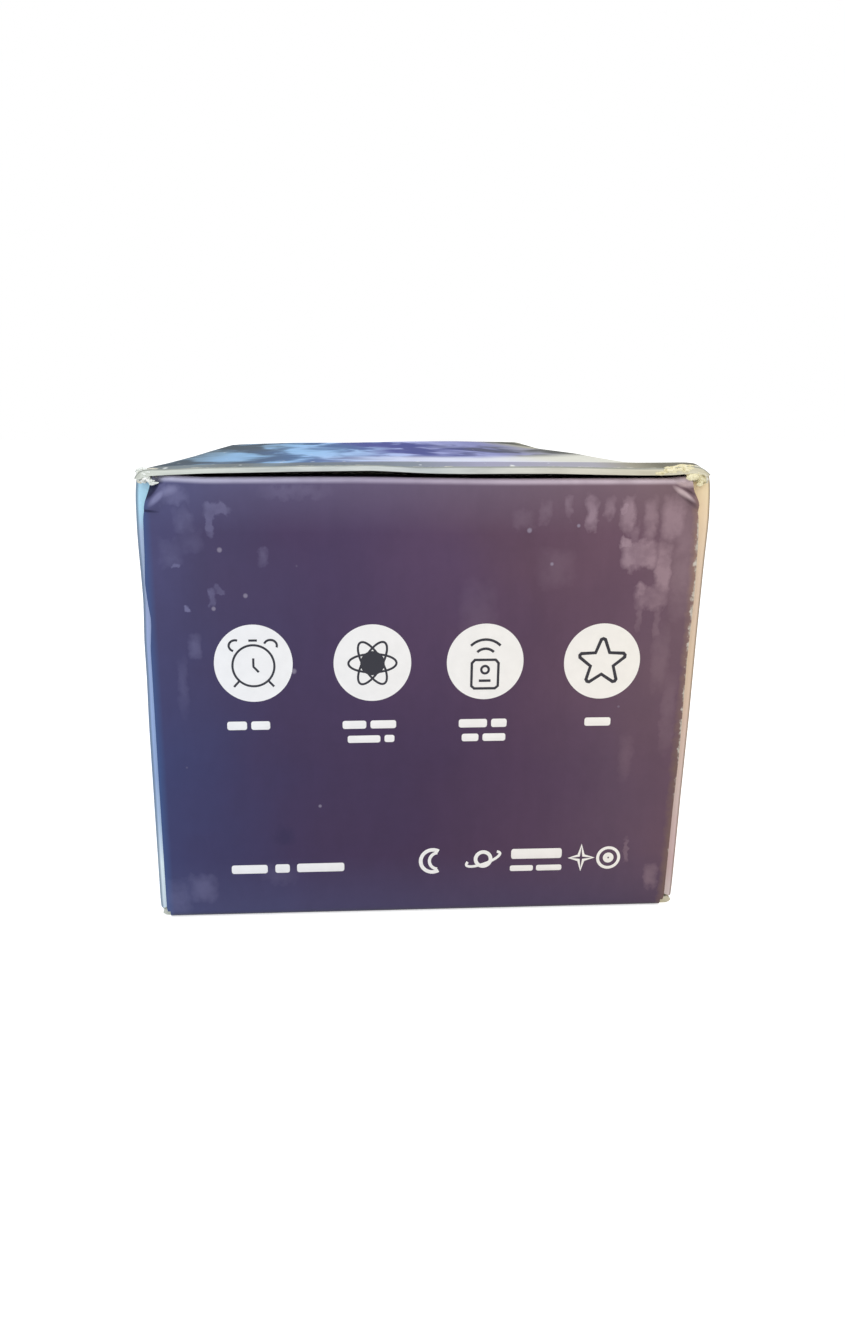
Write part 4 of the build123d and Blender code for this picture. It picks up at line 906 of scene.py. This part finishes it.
class CARTON_OT_closures(bpy.types.Operator):
    """Makes each end's closure with the tuck flap that it is folded to, and the crease below it"""

    bl_idname = "projector.closures"
    bl_label = "Closures and tuck flaps"

    def execute(self, context):
        carton = context.scene.projector_carton
        fold, wear = carton.fold / MM, carton.wear
        top = CLOSURE_TOP
        front = HALF_LENGTH  # depths grow backwards from this end's outer face at -front
        rise = spaced(fold, top - fold, 0.6, 1.6, 12)[:-1]
        reach = float(TUCK_HIGH[1]) + front - fold
        tuck = spaced(0, reach, 0.8, 2, 4)[1:]
        bends = folded((-front + fold, top - fold), fold, 180, 90, 9)
        lines = []
        for deep, bend in zip((0, BOARD), bends):
            flap = [(-front + fold + out, top - deep - TUCK_SAG * out) for out in tuck]
            lines.append([(-front + deep, z) for z in rise] + bend + flap)
        for word, end in ENDS.items():
            halves = []
            for y, z in lines[0]:
                left, right = closure_half(-1, end, z), closure_half(1, end, z)
                on_tuck = max(0, y + front - fold)
                if on_tuck > 0:
                    narrow = smooth(on_tuck, 0, 3) * (left - TUCK_HIGH[0])
                    round_off = max(0, on_tuck - (reach - TUCK_CORNER))
                    narrow += TUCK_CORNER - math.sqrt(max(0, TUCK_CORNER**2 - round_off**2))
                    left, right = left - narrow, right - narrow - (right - left) * smooth(on_tuck, 0, 3)
                halves.append((left, right))
            grids = closure_grids(lines, halves, end, wear)
            made = board_piece(f"{word}_closure_board", *grids, False, carton_materials("closure"))
            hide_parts(f"{word}_closure", f"{word}_tuck_flap")
            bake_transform(made)
            # the crease that joins the closure to the bottom panel
            creases = folded((-front + fold, fold), fold, 270, 180, 8)
            halves = [(closure_half(-1, end, 0), closure_half(1, end, 0))] * len(creases[0])
            grids = closure_grids(creases, halves, end, wear)
            hinge = board_piece(f"{word}_bottom_crease", *grids, False, carton_materials("closure"))
            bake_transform(hinge)
        return {"FINISHED"}


class CARTON_OT_dust_flaps(bpy.types.Operator):
    """Makes the four dust flaps with the folds that join them to the side panels"""

    bl_idname = "projector.dust_flaps"
    bl_label = "Dust flaps"

    def execute(self, context):
        fold = context.scene.projector_carton.fold / MM
        centre_y = -SIDE_END
        tip = float(DUST_LOW[0])
        inwards = spaced(HALF_WIDTH - fold, tip, 0.8, 3, 6)[1:]
        bends = folded((HALF_WIDTH - fold, centre_y), fold, 0, -90, 9)
        lines = [
            bend + [(x, centre_y - fold + deep) for x in inwards] for deep, bend in zip((0, BOARD), bends)
        ]
        up = spaced(0, 1, 0.012, 0.03, 0.06)
        heights = []
        for out, _ in lines[0]:
            gone = max(0, HALF_WIDTH - fold + 1 - out)
            low = float(DUST_LOW[2]) + 0.5 * gone
            # a shoulder beside the crease, then an upper edge that falls towards the tip
            high = 108.1 - 2.9 * smooth(gone, 2.2, 3.6) - 5 * np.clip((gone - 3) / 48, 0, 1)
            into = max(0, DUST_CORNER - (out - tip))
            cut = DUST_CORNER - math.sqrt(max(0, DUST_CORNER**2 - into**2))
            heights.append((low + cut) + (high - low - 2 * cut) * up)
        faces = [np.array([points_at(*at, z) for at, z in zip(line, heights)]) for line in lines]
        for word, end in ENDS.items():
            for hand, side in HANDS.items():
                grids = [settle_flap(face, side, end) for face in faces]
                flat = [face * (side, -end, 1) for face in faces]
                name = f"{word}_{hand}_dust_board"
                made = board_piece(name, *grids, flat, False, carton_materials("sleeve"))
                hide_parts(f"{word}_{hand}_dust_flap")
                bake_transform(made)
        return {"FINISHED"}


def ring(x, z, wide, high, first=0, last=360, tilt=0):
    """Points of an oval or a part of one, in degrees."""
    turns = np.radians(np.arange(first, last + 0.1, 6))
    cos, sin = math.cos(math.radians(tilt)), math.sin(math.radians(tilt))
    across, up = wide * np.cos(turns), high * np.sin(turns)
    return list(zip(x + across * cos - up * sin, z + across * sin + up * cos))


def circle(x, z, wide, pen, high=None, tilt=0):
    """A closed oval of ink."""
    return ring(x, z, wide, high or wide, tilt=tilt)[:-1], True, pen


def bar(left, right, low, high):
    """A bar with rounded ends, as a line whose width swells from one end and shrinks to the other."""
    half, middle, nose = (high - low) / 2, (low + high) / 2, 0.55
    shares = np.sin(np.radians((0, 20, 45, 70, 90)))
    lengths = [left + nose * (1 - math.cos(math.asin(share))) for share in shares]
    ends = [(place, half * (0.45 + 0.55 * share)) for place, share in zip(lengths, shares)]
    ends += [(left + right - place, size) for place, size in reversed(ends)]
    return [(place, middle) for place, _ in ends], False, [size for _, size in ends]


class CARTON_OT_artwork(bpy.types.Operator):
    """Prints the front closure's four badges, the bars below them and the row of small signs"""

    bl_idname = "projector.artwork"
    bl_label = "Front artwork"

    def execute(self, context):
        carton = context.scene.projector_carton
        lift = carton.ink / MM
        above = lift + 0.02  # a sign's height over its badge
        white = litho_ink("white_litho_ink", "f0f2f6", "f5f0e8")
        dark = litho_ink("charcoal_litho_ink", "33353f", "37343a")

        def placed(flat, height):
            """Points of the flat drawing laid on the closure's face at a height above it."""
            on = closure_point(flat[:, 0], -HALF_LENGTH, flat[:, 1], -1, carton.wear)
            on[:, 1] -= height
            return on

        def inked(name, mesh, material):
            """Adds a print whose mesh is ready, which the closure carries."""
            keep_places(mesh, places_of(mesh))
            made = piece(name, mesh, [material])
            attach(made, "front_closure")

        def badge(name, x, z, radius, ink, height):
            """A round patch of ink, as rings so that it follows the board."""
            rings = [arc((x, z), radius * share, 0, 355, 71) for share in (0.2, 0.4, 0.6, 0.8, 1)]
            flat = np.concatenate([[(x, z)], *rings])
            points = np.concatenate([placed(flat, height), placed(flat, -0.4)])
            count, back = len(rings[0]), len(flat)
            edge = back - count  # where the outermost ring starts
            faces = []
            for step in range(count):
                after = (step + 1) % count
                faces += [(0, 1 + step, 1 + after), (back, back + 1 + after, back + 1 + step)]
                for one in range(1, edge, count):
                    quad = (one + step, one + count + step, one + count + after, one + after)
                    faces += [quad, tuple(back + corner for corner in reversed(quad))]
                faces.append((edge + step, back + edge + step, back + edge + after, edge + after))
            mesh = bpy.data.meshes.new(name)
            mesh.from_pydata((points * MM).tolist(), [], faces)
            inked(name, mesh, ink)

        def strokes(name, lines, material, height):
            """Lines of ink: each is its points, whether it is closed, and half its width."""
            drawing = bpy.data.curves.new(name, "CURVE")
            drawing.dimensions = "3D"
            drawing.bevel_resolution = 3
            drawing.bevel_depth = 1
            drawing.use_fill_caps = True
            for points, closed, width in lines:
                line = drawing.splines.new("POLY")
                line.points.add(len(points) - 1)
                widths = width if isinstance(width, list) else [width] * len(points)
                for place, (x, z), size in zip(line.points, points, widths):
                    place.co, place.radius = (x, 0, z, 1), size
                line.use_cyclic_u = closed
            holder = bpy.data.objects.new(name, drawing)
            context.scene.collection.objects.link(holder)
            context.view_layer.update()
            mesh = bpy.data.meshes.new_from_object(holder.evaluated_get(context.evaluated_depsgraph_get()))
            bpy.data.objects.remove(holder)
            bpy.data.curves.remove(drawing)
            tube = np.array([vert.co for vert in mesh.vertices])
            flat = placed(tube[:, [0, 2]], 0)
            flat[:, 1] += np.clip(tube[:, 1], -1, 1) * 0.1 - height
            move_points(mesh, flat)
            mesh.materials.clear()
            inked(name, mesh, material)

        spots = [(-40.1, 65.4), (-12.1, 65.2), (14.8, 65.2), (43, 65)]
        for number, (x, z) in enumerate(spots, 1):
            badge(f"badge_{number}", x, z, 9.2, white, lift)
        pen = 0.27
        x, z = spots[0]  # an alarm clock
        clock = [
            circle(x, z - 0.5, 4.9, pen),
            ([(x, z + 1.3), (x, z - 0.7), (x + 1.2, z - 2)], False, pen),
            ([(x - 1, z + 5.5), (x + 1, z + 5.5)], False, pen),
        ]
        for side in (-1, 1):
            bell = ring(x + side * 4.1, z + 4.3, 1.5, 1.3, 25 - 45 * side, 205 - 45 * side)
            clock.append((bell, False, pen))
            clock.append(([(x + side * 3.5, z - 4.2), (x + side * 4.7, z - 5.5)], False, pen))
        strokes("alarm_clock_sign", clock, dark, above)
        x, z = spots[1]  # a ringed cloud of stars
        strokes("nebula_sign", [circle(x, z, 5.7, pen, 2.2, turn) for turn in (0, 60, -60)], dark, above)
        badge("nebula_core", x, z, 2.9, dark, lift + 0.04)
        x, z = spots[2]  # a handset and its signal
        right = [(3.2, -5.9), (3.2, -0.3), (2.5, 0.5)]
        box = [(-a, u) for a, u in right] + right[::-1] + [(2.5, -6.5), (-2.5, -6.5)]
        handset = [([(x + a, z + u) for a, u in box], True, 0.34), circle(x, z - 1.9, 0.9, 0.3)]
        handset += [([(x - 1.4, z - 4.6), (x + 1.4, z - 4.6)], False, 0.32)]
        handset += [(ring(x, z + 0.4, size, size, 45, 135), False, 0.32) for size in (2.8, 5)]
        strokes("handset_sign", handset, dark, above)
        x, z = spots[3]  # a star
        tips = []
        for point in range(5):
            turn = math.radians(90 + 72 * point)
            for angle, size in ((-0.09, 5.55), (0, 5.75), (0.09, 5.55), (math.radians(36), 2.9)):
                tips.append((x + size * math.cos(turn + angle), z - 0.2 + size * math.sin(turn + angle)))
        strokes("star_sign", [(tips, True, 0.44)], dark, above)
        strokes("caption_bars", [bar(*sides) for sides in (
            (-46.8, -42.1, 49.2, 51.4), (-41.1, -36.6, 49.2, 51.4), (-19.3, -13.6, 49.05, 51.15),
            (-12.6, -6.4, 49.05, 51.15), (-18.1, -10.2, 45.5, 47.4), (-9.2, -6.8, 45.55, 47.45),
            (8.8, 15.7, 48.9, 51.1), (16.7, 20.5, 48.9, 51.1), (9.6, 13.7, 45.4, 47.4),
            (14.7, 20.3, 45.4, 47.4), (39.6, 46, 48.9, 51.1), (-47.2, -38.3, 11.7, 14.1),
            (-36.4, -32.8, 11.75, 14.15), (-31, -19.2, 11.8, 14.2),
        )], white, lift)
        points = ((0, 3.4), (0.6, 0.6), (3.1, 0), (0.6, -0.6), (0, -3.3), (-0.6, -0.6), (-3, 0), (-0.6, 0.6))
        strokes("small_signs", [
            (ring(3, 14, 3, 3, 60, 300), False, 0.5), (ring(4.4, 14, 2.2, 2.2, 96, 264), False, 0.42),
            circle(15.8, 14.2, 1.9, 0.5), (ring(15.8, 14.2, 4.5, 1.3, 150, 390, tilt=20), False, 0.36),
            bar(22.9, 35.8, 14, 16.8), bar(22.7, 28.6, 10.7, 12.3), bar(29.4, 35.9, 10.7, 12.3),
            ([(40.8 + a, 14 + u) for a, u in points], True, 0.42),
            circle(47.8, 13.9, 2.7, 0.4), circle(47.8, 13.9, 0.8, 0.6),
        ], white, lift)
        return {"FINISHED"}


class CARTON_OT_inner_boards(bpy.types.Operator):
    """Makes the cradles and the glue flap as board that has settled with the carton"""

    bl_idname = "projector.inner_boards"
    bl_label = "Cradles and glue flap"

    def execute(self, context):
        liner, edge = carton_materials("sleeve")[1:]
        for node in ("front_cradle", "rear_cradle", "glue_flap"):
            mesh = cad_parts[node].data.copy()
            mesh.materials.clear()
            corners = [face.vertices for face in mesh.polygons]
            solid = BVHTree.FromPolygons([vert.co for vert in mesh.vertices], corners)
            for face in mesh.polygons:
                # behind a face of the board lies its other face; behind a cut edge, the board's whole breadth
                through = solid.ray_cast(face.center - face.normal * 0.01 * MM, -face.normal)[3]
                face.material_index = int(through is None or through > 1.5 * BOARD * MM)
            flat = places_of(mesh)
            move_points(mesh, settle(flat))
            keep_places(mesh, flat)
            mesh.uv_layers.new(name="cut")
            made = piece(f"{node}_board", mesh, [liner, edge])
            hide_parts(node)
            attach(made, "root")
        return {"FINISHED"}


class CARTON_OT_frayed_corners(bpy.types.Operator):
    """Makes the torn paper at the two upper front corners, where the top panel meets the folds"""

    bl_idname = "projector.frayed_corners"
    bl_label = "Frayed corners"

    def execute(self, context):
        torn = frayed_paper()
        # each scrap's place and half sizes, after how deeply the corner's paper is crumpled
        scraps = {
            "left": (0.55, (
                ((-63.8, -120.6, 109.3), (1.1, 1.5, 1)), ((-62.5, -121.5, 109.1), (1.2, 1.1, 0.9)),
                ((-63.9, -120.6, 108), (0.9, 1.3, 0.9)), ((-62.4, -121.9, 107.9), (1, 0.8, 0.7)),
                ((-61.5, -122.3, 107.3), (1, 0.45, 0.4)), ((-60.6, -122.5, 106.9), (0.9, 0.35, 0.3)),
                ((-63, -121.6, 107.3), (0.8, 0.8, 0.5)), ((-61.2, -122.4, 106.7), (0.7, 0.35, 0.35)),
            )),
            "right": (0.3, (
                ((54, -122.2, 108.9), (2, 0.5, 0.5)), ((56.6, -122, 109.6), (2.6, 0.8, 0.95)),
                ((59.2, -121.9, 109.9), (2.6, 0.9, 1.05)), ((62, -121.6, 108.8), (2.2, 1, 1.15)),
                ((63.9, -121, 107.4), (1.3, 1.1, 1.2)), ((61.4, -122.3, 108), (1.6, 0.45, 0.7)),
                ((63.4, -121.7, 106.4), (0.8, 0.6, 0.5)),
            )),
        }
        for hand, (crumple, heap) in scraps.items():
            shape = bmesh.new()
            for place, size in heap:
                made = bmesh.ops.create_icosphere(shape, subdivisions=4, radius=1)
                middle = Vector(place)
                for vert in made["verts"]:
                    way = vert.co.copy()
                    folds = (noise.noise(way * 1.6 + middle) - abs(noise.noise(way * 3.4 + middle))) * crumple
                    vert.co = (middle + Vector([w * s * (1 + folds) for w, s in zip(way, size)])) * MM
            mesh = bpy.data.meshes.new(f"frayed_{hand}_corner")
            shape.to_mesh(mesh)
            shape.free()
            keep_places(mesh, places_of(mesh))
            made = piece(f"frayed_{hand}_corner", mesh, [torn])
            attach(made, "root")
        return {"FINISHED"}


class CARTON_OT_leaflet(bpy.types.Operator):
    """Makes the folded leaflet: four leaves of paper that part slightly towards their free edges"""

    bl_idname = "projector.leaflet"
    bl_label = "Leaflet"

    def execute(self, context):
        low, high = limits("instruction_leaflet")
        rise = np.linspace(low[2], high[2], 25)
        across = np.linspace(low[0], high[0], 19)
        leaves, inset, half_paper = 4, 0.12, 0.05
        line = []
        for leaf in range(leaves):
            y = low[1] + inset + (high[1] - low[1] - 2 * inset) * leaf / (leaves - 1)
            line += [(y, z) for z in (rise if leaf % 2 == 0 else rise[::-1])]
        line = np.array(line)
        step = np.gradient(line, axis=0)
        step /= np.linalg.norm(step, axis=1)[:, None]
        normal = np.stack([-step[:, 1], step[:, 0]], axis=-1) * half_paper
        grids = [np.array([points_at(across, y, z) for y, z in line + way * normal]) for way in (-1, 1)]
        made = board_piece("folded_leaflet", *grids, grids, False, [leaflet_print()] * 3)
        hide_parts("instruction_leaflet")
        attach(made, "root")
        return {"FINISHED"}


class CARTON_OT_rigid_finishes(bpy.types.Operator):
    """Gives each rigid piece of the projector and the remote control the finish of its real material"""

    bl_idname = "projector.rigid_finishes"
    bl_label = "Projector and remote finishes"

    def execute(self, context):
        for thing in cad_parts.values():
            if not thing.hide_render:
                thing.data.materials[0] = finish_for(thing.data.materials[0].name)
        return {"FINISHED"}


class CARTON_OT_stage(bpy.types.Operator):
    """Sets up the pale floor, the soft lamps and the camera"""

    bl_idname = "projector.stage"
    bl_label = "Stage"

    def execute(self, context):
        scene = context.scene
        light = scene.projector_light
        scene.view_settings.view_transform = "Standard"
        # pale floor: white to the camera, with the object's soft shadow kept
        mesh = bpy.data.meshes.new("studio_floor")
        mesh.from_pydata([(-6, -6, 0), (6, -6, 0), (6, 6, 0), (-6, 6, 0)], [], [(0, 1, 2, 3)])
        material, add = start("pale_studio_floor")
        white = add("ValToRGB", add("TexNoise", Scale=40, Detail=2), stops={0.3: "ededed", 0.7: "f2f2f2"})
        matt = add("BsdfDiffuse", Color=white)
        glow = add("Emission", Color="ffffff", Strength=0.55)
        path = add("LightPath", out=None)
        seen = most(add, [path["Is Camera Ray"], path["Is Glossy Ray"], path["Is Transmission Ray"]])
        add("OutputMaterial", add("MixShader", seen, matt, add("AddShader", matt, glow)), out=None)
        floor = piece("studio_floor", mesh, [material])
        # even room light, white where the camera sees it
        world = bpy.data.worlds.new("white_studio")
        world.use_nodes = True
        world.node_tree.nodes.clear()
        add = partial(add_node, world.node_tree)
        path = add("LightPath", out=None)
        seen = most(add, [path["Is Camera Ray"], path["Is Transmission Ray"]])
        even = add("Background", Color="ffffff", Strength=light.sky)
        back = add("Background", Color="ffffff", Strength=1)
        add("OutputWorld", add("MixShader", seen, even, back), out=None)
        scene.world = world
        aim = Vector((0, 0, 0.05))
        for name, power, size, place in (
            ("overhead_lamp", light.key, 0.9, Vector((0.1, -0.55, 0.9))),
            ("side_lamp", light.side, 0.6, Vector((-0.75, -0.6, 0.45))),
        ):
            lamp = bpy.data.lights.new(name, "AREA")
            lamp.energy, lamp.size = power, size
            holder = bpy.data.objects.new(name, lamp)
            holder.location = place
            holder.rotation_euler = (aim - place).to_track_quat("-Z", "Y").to_euler()
            scene.collection.objects.link(holder)
        # camera: aimed slightly right and down; its small shift is the framing's
        view = bpy.data.cameras.new("camera")
        view.lens, view.sensor_width = 27.5, 36
        view.shift_x, view.shift_y = 0.0289, 0.0391
        view.clip_start, view.clip_end = 0.01, 20
        camera = bpy.data.objects.new("camera", view)
        camera.matrix_world = Matrix.Translation((-0.02332, -0.35713, 0.12038))
        for degrees, axis in ((-3.41, "Z"), (90 - 16.33, "X"), (0.14, "Z")):
            camera.matrix_world @= Matrix.Rotation(math.radians(degrees), 4, axis)
        scene.collection.objects.link(camera)
        scene.camera = camera
        return {"FINISHED"}


STEPS = (
    CARTON_OT_sleeve, CARTON_OT_closures, CARTON_OT_dust_flaps, CARTON_OT_frayed_corners, CARTON_OT_artwork,
    CARTON_OT_inner_boards, CARTON_OT_leaflet, CARTON_OT_rigid_finishes, CARTON_OT_stage,
)
GROUPS = {
    "projector_carton": CartonSettings, "projector_print": PrintSettings, "projector_light": LightSettings,
}


class CARTON_PT_panel(bpy.types.Panel):
    """Lists the settings and the steps"""

    bl_idname = "CARTON_PT_panel"
    bl_label = "Projector"
    bl_space_type = "VIEW_3D"
    bl_region_type = "UI"
    bl_category = "Projector"

    def draw(self, context):
        layout = self.layout
        for group in GROUPS:
            settings = getattr(context.scene, group)
            for name in settings.__annotations__:
                layout.prop(settings, name)
        for step in STEPS:
            layout.operator(step.bl_idname)


def register():
    for name, group in GROUPS.items():
        bpy.utils.register_class(group)
        setattr(bpy.types.Scene, name, PointerProperty(type=group))
    for part in (*STEPS, CARTON_PT_panel):
        bpy.utils.register_class(part)


def unregister():
    for part in reversed((*STEPS, CARTON_PT_panel)):
        bpy.utils.unregister_class(part)
    for name, group in GROUPS.items():
        delattr(bpy.types.Scene, name)
        bpy.utils.unregister_class(group)


def main():
    """Runs every step in order."""
    register()
    for step in STEPS:
        group, name = step.bl_idname.split(".")
        getattr(getattr(bpy.ops, group), name)()


if __name__ == "__main__":
    main()
